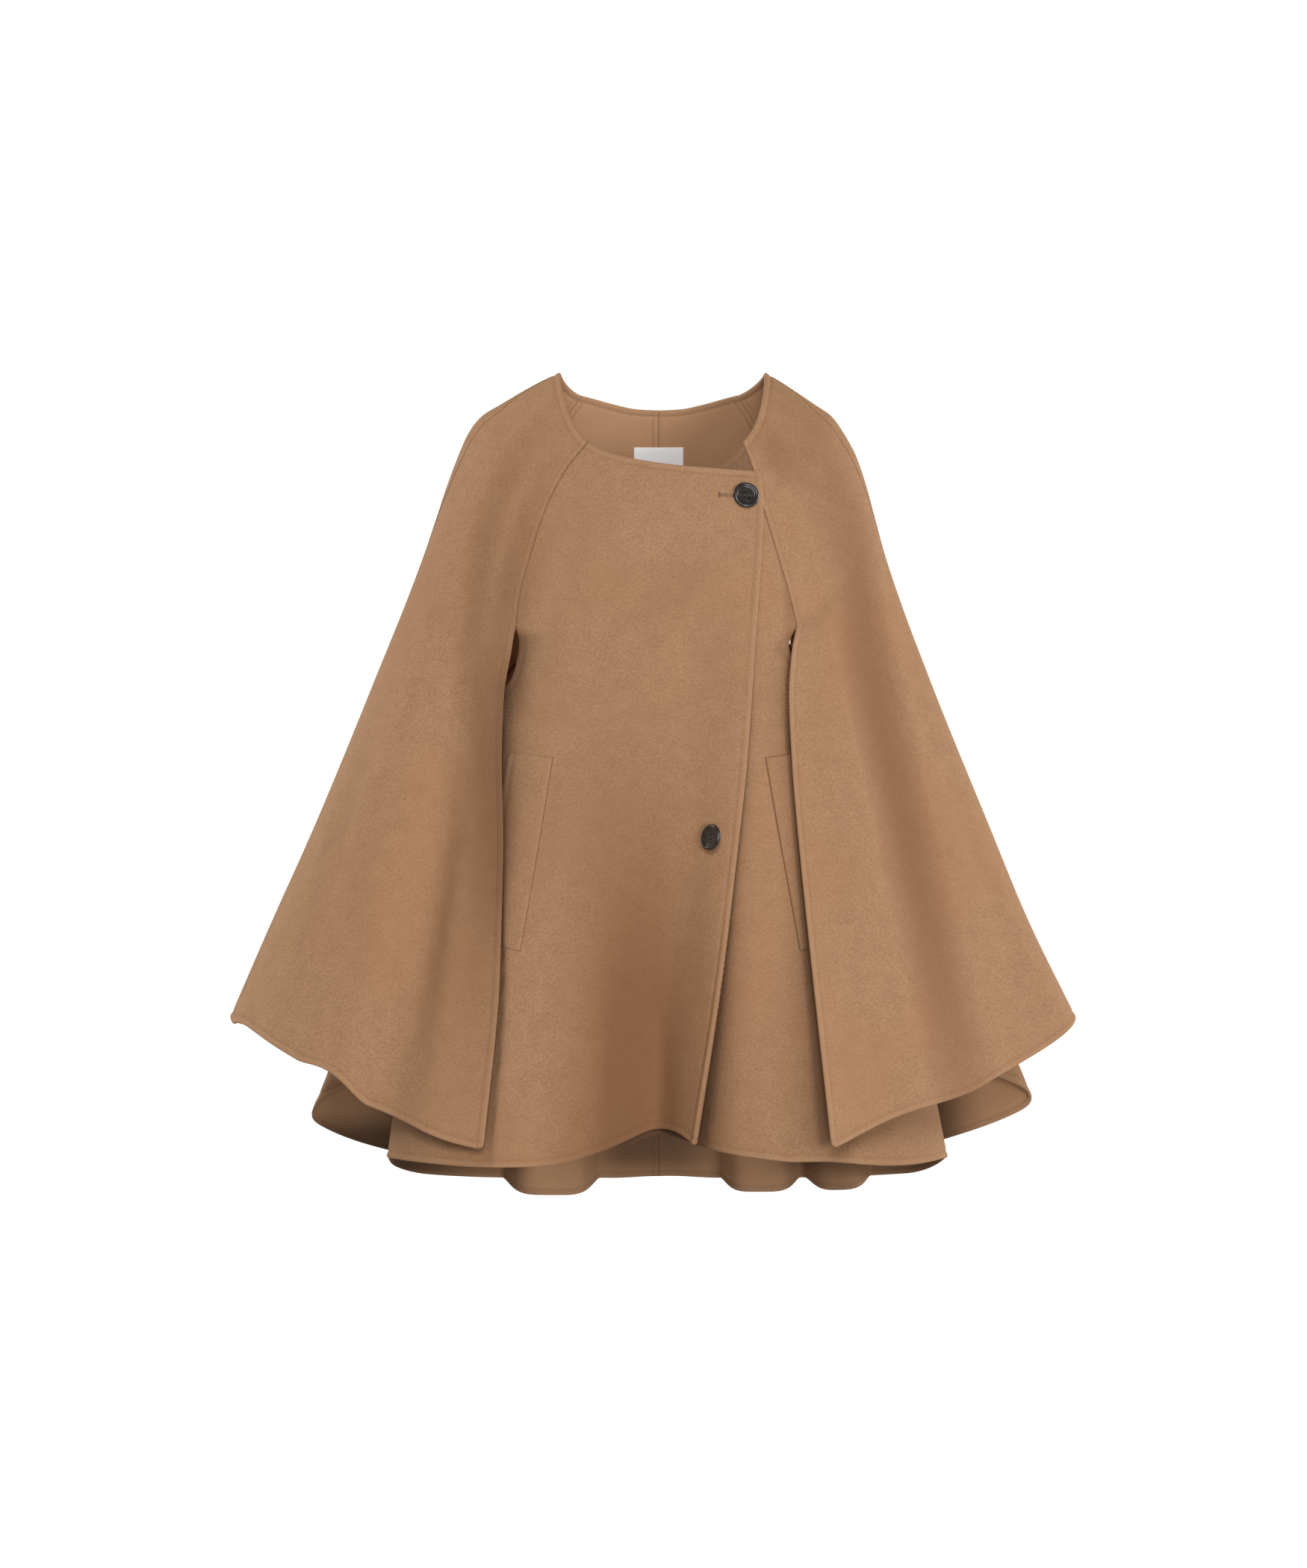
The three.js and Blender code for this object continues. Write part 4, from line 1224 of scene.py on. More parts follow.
    def drape(self, across: Array, down: Array, edges: FourArrays) -> tuple[Array, Array]:
        """Creases and long faint waves of the face, quiet near every edge but the hem.

        Args:
            across: Distances across the panel.
            down: Distances down the panel.
            edges: Distances from the first edge, the last edge, the top and the hem.

        Returns:
            How far they move the face, and how deep the painted shade of the creases is.
        """
        creased, shaded = np.zeros(across.shape), np.zeros(across.shape)
        for crease in self.creases:
            reach = crease.reach(across, down)
            creased += crease.height * reach
            shaded += (crease.shade - CREASE_SHADE * crease.height) * reach
        waves = sum(np.sin(across / wide + down / long + phase) for wide, long, phase in RIPPLES)
        quiet = smoothstep(np.minimum.reduce(edges[:3]), EDGES.quiet_from, EDGES.quiet_to)
        return (creased + self.unevenness * waves / 2) * quiet, shaded

    def build(self, material: Material) -> Piece:
        """Builds the shell: the outer and the inner face lie half the cloth to either side of the middle.

        Args:
            material: The cloth's finish.

        Returns:
            The piece.
        """
        u, v, across, total = self.spread()
        points, normals = self.face(u, v), self.face_normals(u, v)
        edges = self.distances(points, across, total)
        points = self.rounded(points, edges)
        down = run_along(points)
        half, relief, (pale, seam) = self.section(edges, v)
        moved, shaded = self.drape(across, down, edges)
        sink = self.thick / 2 - half if self.flat_below else 0.0
        middle = points + normals * (self.outer - self.thick / 2 - sink + moved)[..., None]
        swell = normals * (half + relief)[..., None]
        self.points, self.normals = middle, normals
        piece = self.shell(middle + swell, middle - swell, material)
        # painted shade: the depth of the folds and creases darkens the outer face's colour in their hollows
        painted_fold_shade = np.clip((self.fold_depth(u, v) + shaded) / PAINTED_SHADE_DEPTH, 0, 1) ** PAINTED_SHADE_POWER
        none = np.zeros_like(u)
        weights = {
            "edge": (pale, pale),
            "seam": (seam, seam),
            "painted_fold_shade": (painted_fold_shade, none),
            # painted shadow: cloth beside and beneath other pieces is marked to be painted dark
            "painted_shadow": (self.painted_shadow_weight(points), self.inner_painted_shadow_weight(points)),
            # painted light: the whole inner face is marked to be painted lighter
            "inner": (none, none + 1),
        }
        self.mark(piece, across, down, weights)
        return piece

    def shell(self, outside: Array, inside: Array, material: Material) -> Piece:
        """Joins the two faces at their shared outline into one closed mesh.

        Args:
            outside: Grid of the outer face.
            inside: Grid of the inner face.
            material: The cloth's finish.

        Returns:
            The piece.
        """
        rows, columns = outside.shape[:2]
        rim = np.zeros((rows, columns), bool)
        rim[[0, -1]] = True
        rim[:, [0, -1]] = True
        ids = np.arange(rows * columns).reshape(rows, columns)
        inner_ids = np.where(rim, ids, rows * columns + np.cumsum(~rim.ravel()).reshape(rows, columns) - 1)
        points = np.concatenate((outside.reshape(-1, 3), inside[~rim]))
        quads = grid_faces(rows, columns)
        faces = np.concatenate((quads, inner_ids.ravel()[quads][:, ::-1]))
        self.sources = np.concatenate((ids.ravel(), ids[~rim]))
        return mesh_piece(self.name, points, outward(points, faces), material)

    def mark(self, piece: Piece, across: Array, down: Array, weights: FaceWeights) -> None:
        """Writes the grain map in metres and the weights that the finish reads: turned edges, seam lines,
        painted shade in the hollows of the folds, painted shadow beside and beneath other pieces, and the
        inner face, which is painted lighter.

        Args:
            piece: The panel's object.
            across: Distances across the panel.
            down: Distances down the panel.
            weights: Weights of the outer and the inner face by name.
        """
        mesh = piece.data
        outside = np.arange(len(self.sources)) < across.size
        for name, pair in weights.items():
            outer, inner = (values.ravel()[self.sources] for values in pair)
            attribute = mesh.attributes.new(name, "FLOAT", "POINT")
            attribute.data.foreach_set("value", np.where(outside, outer, inner).astype(np.float32))
        corners = np.zeros(len(mesh.loops), np.int32)
        mesh.loops.foreach_get("vertex_index", corners)
        grain = np.stack((across.ravel(), down.ravel()), 1)[self.sources][corners] * MM
        mesh.uv_layers.new(name="grain").data.foreach_set("uv", grain.astype(np.float32).ravel())

    def dress(self, material: Material, slot: str = "wool") -> Piece:
        """Args:
            material: The cloth's finish.
            slot: Not used.

        Returns:
            The piece.
        """
        piece = self.build(material)
        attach(piece, "root")
        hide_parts(self.name)
        piece.name = self.name + "_cloth"
        width, length, area = self.cut
        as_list(self.rests_on)
        mesh = piece.data
        size = sum(polygon.area for polygon in mesh.polygons) / 2
        LOG.info("%s: %d faces, %.4f square metres", piece.name, len(mesh.polygons), size)
        return piece


@dataclass
class BodyPanel(ClothPanel):
    """A front or a back: from its inner edge to the raglan seam, the armhole and the side seam. The bends of
    the neckline, the hem and the outer edge fade away from them by powers, and the panel widens between two
    shares of its length. A share of the folds' depth, taken a turn further round than the folds, is painted
    on as shade."""

    side: Side = Side.RIGHT
    at_back: bool = False
    nap_turn: float = 0.0
    nap_depth: float = 1.0
    neck_fade: int = 6
    hem_fade: int = 3
    edge_fade: int = 6
    wider_from: float = 0.1
    wider_to: float = 0.75

    def inner_deg(self, v: Array) -> Array:
        """Bearing of the inner edge."""
        raise NotImplementedError

    def neck_z(self, x: Array) -> Array:
        """Height of the neckline."""
        raise NotImplementedError

    def lay(self, deg: Array, z: Array, u: Array, v: Array) -> Array:
        """Points of the face at bearings and heights."""
        return body_point(deg, z)

    def bearings(self, u: Array, v: Array) -> tuple[Array, Array]:
        """Bearings and heights between the inner edge and the outer edge: even but for the neckline, the hem
        and the armhole.

        Args:
            u: Shares of the way across.
            v: Shares of the way down.

        Returns:
            Bearings and heights.
        """
        one, none = np.ones(1), np.zeros(1)
        top_deg, hem_deg = self.inner_deg(none), self.inner_deg(one)
        top_z = self.neck_z(body_point(top_deg, self.neck_z(none))[..., 0])
        hem_z = hem_height(hem_deg)
        top_edge, top_edge_z = outer_edge(self.side, self.at_back, none)
        hem_edge, hem_edge_z = outer_edge(self.side, self.at_back, one)
        edge_deg, edge_z = outer_edge(self.side, self.at_back, v)
        even_deg = mix(top_edge, hem_edge, smoothstep(v, self.wider_from, self.wider_to))
        even_z = mix(top_edge_z, hem_edge_z, v)
        neck_line = mix(top_z, top_edge_z, u)
        neck = self.neck_z(body_point(mix(top_deg, top_edge, u), neck_line)[..., 0]) - neck_line
        hem = hem_height(mix(hem_deg, hem_edge, u)) - mix(hem_z, hem_edge_z, u)
        near = u**self.edge_fade
        shape = neck * (1 - v) ** self.neck_fade + hem * v**self.hem_fade + (edge_z - even_z) * near
        z = mix(mix(top_z, hem_z, v), even_z, u) + shape
        return mix(self.inner_deg(v), even_deg, u) + (edge_deg - even_deg) * near, z

    def face(self, u: Array, v: Array) -> Array:
        """Points of the panel's outer face."""
        return self.lay(*self.bearings(u, v), u, v)

    def fold_depth(self, u: Array, v: Array) -> Array:
        """Depth of the body's folds as painted shade."""
        deg, z = np.broadcast_arrays(*self.bearings(u, v))
        moved, fore = body_folds(deg + self.nap_turn, z)
        return self.nap_depth * (-moved - fore * np.cos(np.radians(deg)))

    def painted_shadow_weight(self, points: Array) -> Array:
        """Painted shadow beside the sleeve's open edge."""
        return painted_shadow_beside(self.side, self.at_back, points)

    def turned_edges(self) -> FourWeights:
        """The inner edge, armhole, neckline and hem are turned; the raglan and side seams are sewn."""
        return (never if self.at_back else always), armhole, always, always


@dataclass
class RightFront(BodyPanel):
    """The front that lies on top, lifted over the other one, its lower edge standing forward. That edge is
    thick where the layers turn in, and between two bearings near it less of the folds' shade is painted."""

    nap_turn: float = 2.0
    nap_depth: float = 1.3
    calm_loss: float = 0.8
    calm_from: float = -2.0
    calm_to: float = 15.0
    lap_plump: float = 1.3
    plump_from: float = 0.6
    plump_to: float = 0.92

    def inner_deg(self, v: Array) -> Array:
        """Bearing of the lapped edge."""
        z = mix(LAP_EDGE.first["z"], LAP_EDGE.last["z"], v)
        return bearing_at(LAP_EDGE.at("x", z), z)

    def neck_z(self, x: Array) -> Array:
        """Height of the neckline."""
        return NECK_RIGHT_FRONT.at("z", x)

    def lay(self, deg: Array, z: Array, u: Array, v: Array) -> Array:
        """Points lifted over the left front, less so towards the side."""
        return FLARE.point(deg, z, LAP_LIFT * (1 - smoothstep(u, LAP_FADE, 1)))

    def fold_depth(self, u: Array, v: Array) -> Array:
        """Depth of the body's folds for the painted shade, less towards the lapped edge, which stands
        forward.
        """
        deg, _ = np.broadcast_arrays(*self.bearings(u, v))
        shade_loss = self.calm_loss * smoothstep(deg, self.calm_from, self.calm_to)
        return super().fold_depth(u, v) * (1 - shade_loss)

    def extra_plump(self, v: Array) -> Array:
        """The lower part of the lapped edge is thick."""
        return self.lap_plump * smoothstep(v, self.plump_from, self.plump_to)


@dataclass
class LeftFront(BodyPanel):
    """The front below, its edge hidden by the other one and its hem lower there. It gets less of the folds'
    painted shade.
    """

    nap_depth: float = 0.3
    under_x: float = -36
    top_z: float = -100
    hem_z: float = -715
    drop: float = 6
    drop_to: float = 0.25
    drop_end: float = 0.45
    drop_power: int = 4

    def inner_deg(self, v: Array) -> Array:
        """Bearing of the hidden edge."""
        return bearing_at(np.full_like(v, self.under_x), mix(self.top_z, self.hem_z, v))

    def neck_z(self, x: Array) -> Array:
        """Height of the neckline."""
        return NECK_LEFT_FRONT.at("z", x)

    def lay(self, deg: Array, z: Array, u: Array, v: Array) -> Array:
        """Points on the body's face, lower below the lap."""
        under = 1 - smoothstep(u, self.drop_to, self.drop_end)
        return body_point(deg, z - self.drop * under * v**self.drop_power)

    def painted_shadow_weight(self, points: Array) -> Array:
        """Painted shadow beside the sleeve's open edge and beside the lap."""
        z = points[..., 2]
        shown = np.clip(points[..., 0] - LAP_EDGE.at("x", z), 0, None)
        beside = DIM_LAP.at("share", z) * np.exp(-shown / DIM_LAP.at("reach", z))
        return np.maximum(super().painted_shadow_weight(points), beside)


@dataclass
class Back(BodyPanel):
    """A half of the back, from the centre back seam to the side seam. Its inside carries a painted shadow
    where the front hem shades it, and less so at its own hem."""

    shade_from: float = 600
    shade_to: float = 725
    lit_from: float = 748
    lit_to: float = 770
    lit_loss: float = 0.6

    def inner_deg(self, v: Array) -> Array:
        """Bearing of the centre back seam."""
        return np.full_like(v, 180 * self.side.value)

    def neck_z(self, x: Array) -> Array:
        """Height of the back neckline."""
        return NECK_BACK.at("z", np.abs(x))

    def inner_painted_shadow_weight(self, points: Array) -> Array:
        """Painted shadow on the inside, by its place across and down."""
        x, z = points[..., 0], points[..., 2]
        shaded = DIM_INSIDE.at("share", x) * smoothstep(-z, self.shade_from, self.shade_to)
        return shaded * (1 - self.lit_loss * smoothstep(-z, self.lit_from, self.lit_to))

    def lips(self) -> tuple[Weight, Weight]:
        """The right half carries the allowance of the centre back seam, and both that of the side seams."""
        return (always if self.side is Side.RIGHT else never), always


@dataclass(frozen=True)
class SleeveShade:
    """Painted shadow of a sleeve: on the inside of its back piece near the body and near the hem, and on its
    front edge below the raglan seam. A pair says where a tone starts to change and where it has changed."""

    near: tuple[float, float]
    low_share: float
    edge_share: float
    near_share: float = 0.9
    low: tuple[float, float] = (695, 730)
    inside: tuple[float, float] = (350, 560)
    edge_reach: float = 10
    edge_start: tuple[float, float] = (250, 300)
    edge_end: tuple[float, float] = (470, 560)


SLEEVE_SHADES = {
    Side.RIGHT: SleeveShade(near=(215, 300), low_share=0.85, edge_share=0.35),
    Side.LEFT: SleeveShade(near=(265, 320), low_share=0.0, edge_share=0.0),
}


@dataclass
class SleevePiece(ClothPanel):
    """The front or the back piece of a cape sleeve, from its own edge to the seam over the arm. Near the
    raglan seam its normals are blended into the body's, within two shares of its width and length."""

    side: Side = Side.RIGHT
    at_back: bool = False
    blend_wide: float = 0.12
    blend_long: float = 0.1

    def place(self, u: Array, v: Array) -> Array:
        """Where a point lies round the sleeve."""
        seam = 1 - ARM_SEAM.at("forward", v)
        return mix(2.0, seam, u) if self.at_back else u * seam

    def face(self, u: Array, v: Array) -> Array:
        """Points of the sleeve."""
        return FALL.point(self.side, self.place(u, v), v)

    def face_normals(self, u: Array, v: Array) -> Array:
        """Normals by small steps round the sleeve and down it, blended into the body's at the raglan seam.

        Args:
            u: Shares of the way across.
            v: Shares of the way down.

        Returns:
            Outward normals.
        """
        q = np.clip(self.place(u, v), FACE_STEP, 2 - FACE_STEP)
        above, below = np.maximum(v - FACE_STEP, 0), np.minimum(v + FACE_STEP, 1)
        across = FALL.point(self.side, q + FACE_STEP, v) - FALL.point(self.side, q - FACE_STEP, v)
        down = FALL.point(self.side, q, below) - FALL.point(self.side, q, above)
        own = unit(-self.side.value * np.cross(across, down))
        deg, z, _ = FALL.edge(self.side, self.at_back, v)
        beside = 1 - smoothstep(u, 0, self.blend_wide)
        share = beside * (1 - smoothstep(v, RAGLAN_SHARE, RAGLAN_SHARE + self.blend_long))
        return unit(mix(own, body_normal(deg, z), share[..., None]))

    def turned_edges(self) -> FourWeights:
        """The edge below the raglan seam, the neckline and the hem are turned; the seams are sewn."""
        return below_raglan, never, always, always

    def inner_painted_shadow_weight(self, points: Array) -> Array:
        """The inside of the back piece gets a painted shadow near the body, and near the hem on the right.

        Args:
            points: Grid of the face.

        Returns:
            Shares of the painted shadow.
        """
        if not self.at_back:
            return super().inner_painted_shadow_weight(points)
        shade, x, z = SLEEVE_SHADES[self.side], self.side.value * points[..., 0], points[..., 2]
        near = shade.near_share * (1 - smoothstep(x, *shade.near))
        low = shade.low_share * smoothstep(-z, *shade.low)
        return np.maximum(near, low) * smoothstep(-z, *shade.inside)

    def painted_shadow_weight(self, points: Array) -> Array:
        """The front edge of the right sleeve gets a painted shade below the raglan seam, where it lies back.

        Args:
            points: Grid of the face.

        Returns:
            Shares of the painted shade.
        """
        if self.at_back:
            return super().painted_shadow_weight(points)
        shade, x, z = SLEEVE_SHADES[self.side], self.side.value * points[..., 0], points[..., 2]
        beside = np.exp(-np.clip(x - OPEN_FRONT.at(self.side.word, z), 0, None) / shade.edge_reach)
        between = smoothstep(-z, *shade.edge_start) * (1 - smoothstep(-z, *shade.edge_end))
        return shade.edge_share * beside * between

    def lips(self) -> tuple[Weight, Weight]:
        """The sleeve carries the allowance of the raglan seam, and its back piece that of the arm's seam."""
        return always, (always if self.at_back else never)


@dataclass
class Welt(ClothPanel):
    """A slanted pocket welt on a front: sewn down along its inner side and ends, open towards the side."""

    side: Side = Side.RIGHT
    width: float = 37
    rise: float = 6

    def face(self, u: Array, v: Array) -> Array:
        """Points of the front below the welt: the seam's line, turned round the body as far as the width.

        Args:
            u: Shares of the way from the sewn edge to the open one.
            v: Shares of the way down.

        Returns:
            Points of the front's face.
        """
        z = WELT_SEAM.at("z", v)
        deg = bearing_at(self.side.value * WELT_SEAM.at(self.side.word, v), z)
        radius = np.linalg.norm(body_point(deg, z)[..., :2], axis=-1)
        turn = np.degrees(self.width * u / radius) * self.side.value
        return body_point(deg + turn, z + self.rise * u, LAP_LIFT if self.side is Side.RIGHT else 0.0)

    def turned_edges(self) -> FourWeights:
        """Only the open edge is turned."""
        return never, always, never, never

    def painted_shadow_weight(self, points: Array) -> Array:
        """Painted shadow beside the sleeve's open edge."""
        return painted_shadow_beside(self.side, False, points)


@dataclass
class Label(ClothPanel):
    """The blank label inside the back neck; its foot hangs free."""

    width: float = 48
    height: float = 38
    top_z: float = -61
    hang: float = 1.2

    def face(self, u: Array, v: Array) -> Array:
        """Points of the back's face behind the label."""
        z = self.top_z - self.height * v
        x = self.width * (u - 0.5)
        deg = 180 - np.degrees(np.arctan2(x, BODY.at("back", z)))
        return body_point(deg, z, -self.hang * v)

    def turned_edges(self) -> FourWeights:
        """Its edges are woven flat."""
        return never, never, never, never


@dataclass(frozen=True)
class Thread:
    """A stitch's thread: a thin tube that arches, and tapers towards both ends."""

    radius: float
    arch: float
    thin: float = 0.35
    taper: float = 0.4
    end: float = 0.02
    long_points: int = 7
    round_points: int = 6

    def sew(self, name: str, starts: Array, stops: Array, normals: Array, material: Material) -> Piece:
        """Stitches as one mesh, each from its start to its stop.

        Args:
            name: The piece's name.
            starts: First point of each stitch.
            stops: Last point of each stitch.
            normals: Direction in which each one arches.
            material: The thread's finish.

        Returns:
            The piece.
        """
        share = np.linspace(0, 1, self.long_points)[None, :, None]
        turn = np.linspace(0, 2 * np.pi, self.round_points, endpoint=False)[:, None]
        rise = normals[:, None] * self.arch * np.sin(np.pi * share)
        line = mix(starts[:, None], stops[:, None], share) + rise
        along = unit(np.gradient(line, axis=1))
        side = unit(np.cross(along, normals[:, None] + 1e-6))
        over = np.cross(side, along)
        full = np.sin(np.pi * np.clip(share, self.end, 1 - self.end)) ** self.taper
        radius = self.radius * mix(self.thin, 1.0, full)
        ring = side[:, :, None] * np.cos(turn) + over[:, :, None] * np.sin(turn)
        grid = line[:, :, None] + ring * radius[:, :, None]
        count, rows, columns = grid.shape[:3]
        shift = (np.arange(count) * rows * columns)[:, None, None]
        tube = (grid_faces(rows, columns, closed=True)[None] + shift).reshape(-1, 4)
        caps = np.array([[0, 1, 2, 3], [0, 3, 4, 5]])
        caps = np.concatenate((caps, (rows - 1) * columns + caps[:, ::-1]))
        faces = np.concatenate((tube, (caps[None] + shift).reshape(-1, 4)))
        points = grid.reshape(-1, 3)
        LOG.info("%s: %d stitches", name, count)
        return mesh_piece(name, points, outward(points, faces), material)


def frame_on(normal: Array) -> tuple[Array, Array]:
    """Two unit vectors square to a normal: one level, one up the slope."""
    level = unit(np.cross(np.array((0.0, 0.0, 1.0)), normal))
    return level, np.cross(normal, level)


@dataclass
class Button:
    """A turned coat button with a raised rim, a dished face and four holes, on a thread shank."""

    name: str
    seat: Array
    axis: Array
    stand: float
    radius: float = 12
    thick: float = 4.0
    edge: float = 2.0
    rim: float = 2.8
    dish: float = 1.2
    dip: float = 0.1
    pin: float = 0.02
    hole: float = 1.0
    hole_wall: tuple[float, float] = (0.72, 1.12)
    hole_depth: float = 2.2
    reach: float = 2.6
    shank: float = 1.05
    shank_up: float = 0.6
    thread_sink: float = 0.9
    thread_gap: float = 0.35
    thread: Thread = Thread(radius=0.3, arch=0.9)
    shank_threads: int = 8
    under_points: int = 8
    edge_points: int = 17
    fall_points: int = 15
    face_points: int = 46
    steps: int = 144

    def profile(self) -> Array:
        """Outline from the middle of the underside round the rim to the middle of the face: a half circle at
        the rim, a soft fall into the dish, and a face that dips slightly.

        Returns:
            Radius and height, a row for each point.
        """
        inner = self.radius - self.edge
        turn = np.linspace(-np.pi / 2, np.pi / 2, self.edge_points)
        side = np.stack((inner + self.edge * np.cos(turn), self.stand + self.edge * (1 + np.sin(turn))), 1)
        share = np.linspace(0, 1, self.fall_points)[1:]
        top = self.stand + self.thick
        fall = np.stack((inner - self.rim * share, top - self.dish * smoothstep(share, 0, 1)), 1)
        lip, low = fall[-1]
        flat = np.linspace(lip, self.pin, self.face_points)[1:]
        face = np.stack((flat, low - self.dip * (1 - (flat / lip) ** 2)), 1)
        under = np.linspace(self.pin, inner, self.under_points)[:-1]
        below = np.stack((under, np.full_like(under, self.stand)), 1)
        return np.concatenate((below, side, fall, face))

    def build(self, material: Material) -> Piece:
        """Turns the profile about the axis and sinks the holes into its face.

        Args:
            material: The horn.

        Returns:
            The button in place.
        """
        profile = self.profile()
        turn = np.linspace(0, 2 * np.pi, self.steps, endpoint=False)
        x, y = profile[:, :1] * np.cos(turn), profile[:, :1] * np.sin(turn)
        height = profile[:, 1:] + 0 * turn
        on_face = (np.arange(len(profile)) > len(profile) // 2)[:, None]
        soft, full = (self.hole * share for share in self.hole_wall)
        for corner in np.radians((45, 135, 225, 315)):
            away = np.hypot(x - self.reach * np.cos(corner), y - self.reach * np.sin(corner))
            height = height - on_face * self.hole_depth * (1 - smoothstep(away, soft, full))
        level, up = frame_on(self.axis)
        grid = self.seat + x[..., None] * level + y[..., None] * up + height[..., None] * self.axis
        rows, columns = x.shape
        ring = np.arange(columns)
        first = np.stack((np.full(columns, rows * columns), ring, np.roll(ring, -1)), 1)
        last = np.stack((np.full(columns, rows * columns + 1), np.roll(ring, -1), ring), 1)
        last[:, 1:] += (rows - 1) * columns
        quads = grid_faces(rows, columns, closed=True)
        triangles = np.concatenate((quads[:, [0, 1, 2]], quads[:, [0, 2, 3]], first, last))
        points = np.concatenate((grid.reshape(-1, 3), [grid[0].mean(0), grid[-1].mean(0)]))
        LOG.info("%s: %d faces", self.name, len(triangles))
        return mesh_piece(self.name + "_horn", points, outward(points, triangles), material)

    def dress(self, material: Material, thread: Material) -> None:
        """Builds the button in place of its solid, with its shank and the thread across its holes.

        Args:
            material: The horn.
            thread: The sewing thread.
        """
        piece = self.build(material)
        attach(piece, "root")
        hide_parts(self.name)
        level, up = frame_on(self.axis)
        face = self.seat + self.axis * (self.stand + self.thick - self.dish - self.thread_sink)
        reach = self.reach * np.cos(np.pi / 4)
        starts, stops = [], []
        for side in (-1, 1):
            for shift in (-self.thread_gap, 0.0, self.thread_gap):
                middle = face + level * (side * reach + shift)
                starts.append(middle - up * reach)
                stops.append(middle + up * reach)
        for turn in np.linspace(0, 2 * np.pi, self.shank_threads, endpoint=False):
            spot = self.seat + (level * np.cos(turn) + up * np.sin(turn)) * self.shank
            starts.append(spot)
            stops.append(spot + self.axis * (self.stand + self.shank_up))
        normals = np.repeat(self.axis[None], len(starts), 0)
        sewing = self.thread.sew(self.name + "_thread", np.array(starts), np.array(stops), normals, thread)
        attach(sewing, "root")


@dataclass
class Fastening:
    """The two buttons on the lap: the upper one flat on its shank, the lower one turned on it."""

    top_x: float = 78
    top_z: float = -123
    top_stand: float = LAP_LIFT + 0.6 - SEAM_GAP
    low_x: float = 53
    low_z: float = -434
    low_stand: float = 6.0
    low_turn: float = -27
    low_lift: float = 1.5

    def top(self) -> Button:
        """The upper button, seated on the left front and standing clear of the right one.

        Returns:
            The button.
        """
        z = np.float64(self.top_z)
        deg = bearing_at(np.float64(self.top_x), z)
        normal = body_normal(deg, z)
        return Button("button_top", body_point(deg, z) + normal * SEAM_GAP, normal, self.top_stand)

    def low(self) -> Button:
        """The lower button, seated on the right front, with its axis turned about the upright.

        Returns:
            The button.
        """
        z, turn = np.float64(self.low_z), np.radians(self.low_turn)
        deg = bearing_at(np.float64(self.low_x), z)
        across = FLARE.point(deg + 1, z) - FLARE.point(deg - 1, z)
        down = FLARE.point(deg, z - 1) - FLARE.point(deg, z + 1)
        normal = unit(np.cross(down, across))
        spin = np.array([[np.cos(turn), -np.sin(turn), 0], [np.sin(turn), np.cos(turn), 0], [0, 0, 1]])
        seat = FLARE.point(deg, z) + normal * (SEAM_GAP + self.low_lift * np.sin(-turn))
        return Button("button_low", seat, spin @ normal, self.low_stand)

    def dress(self, horn: Material, thread: Material) -> None:
        """Builds both buttons.

        Args:
            horn: Their finish.
            thread: The thread that holds them.
        """
        for button in (self.top(), self.low()):
            button.dress(horn, thread)


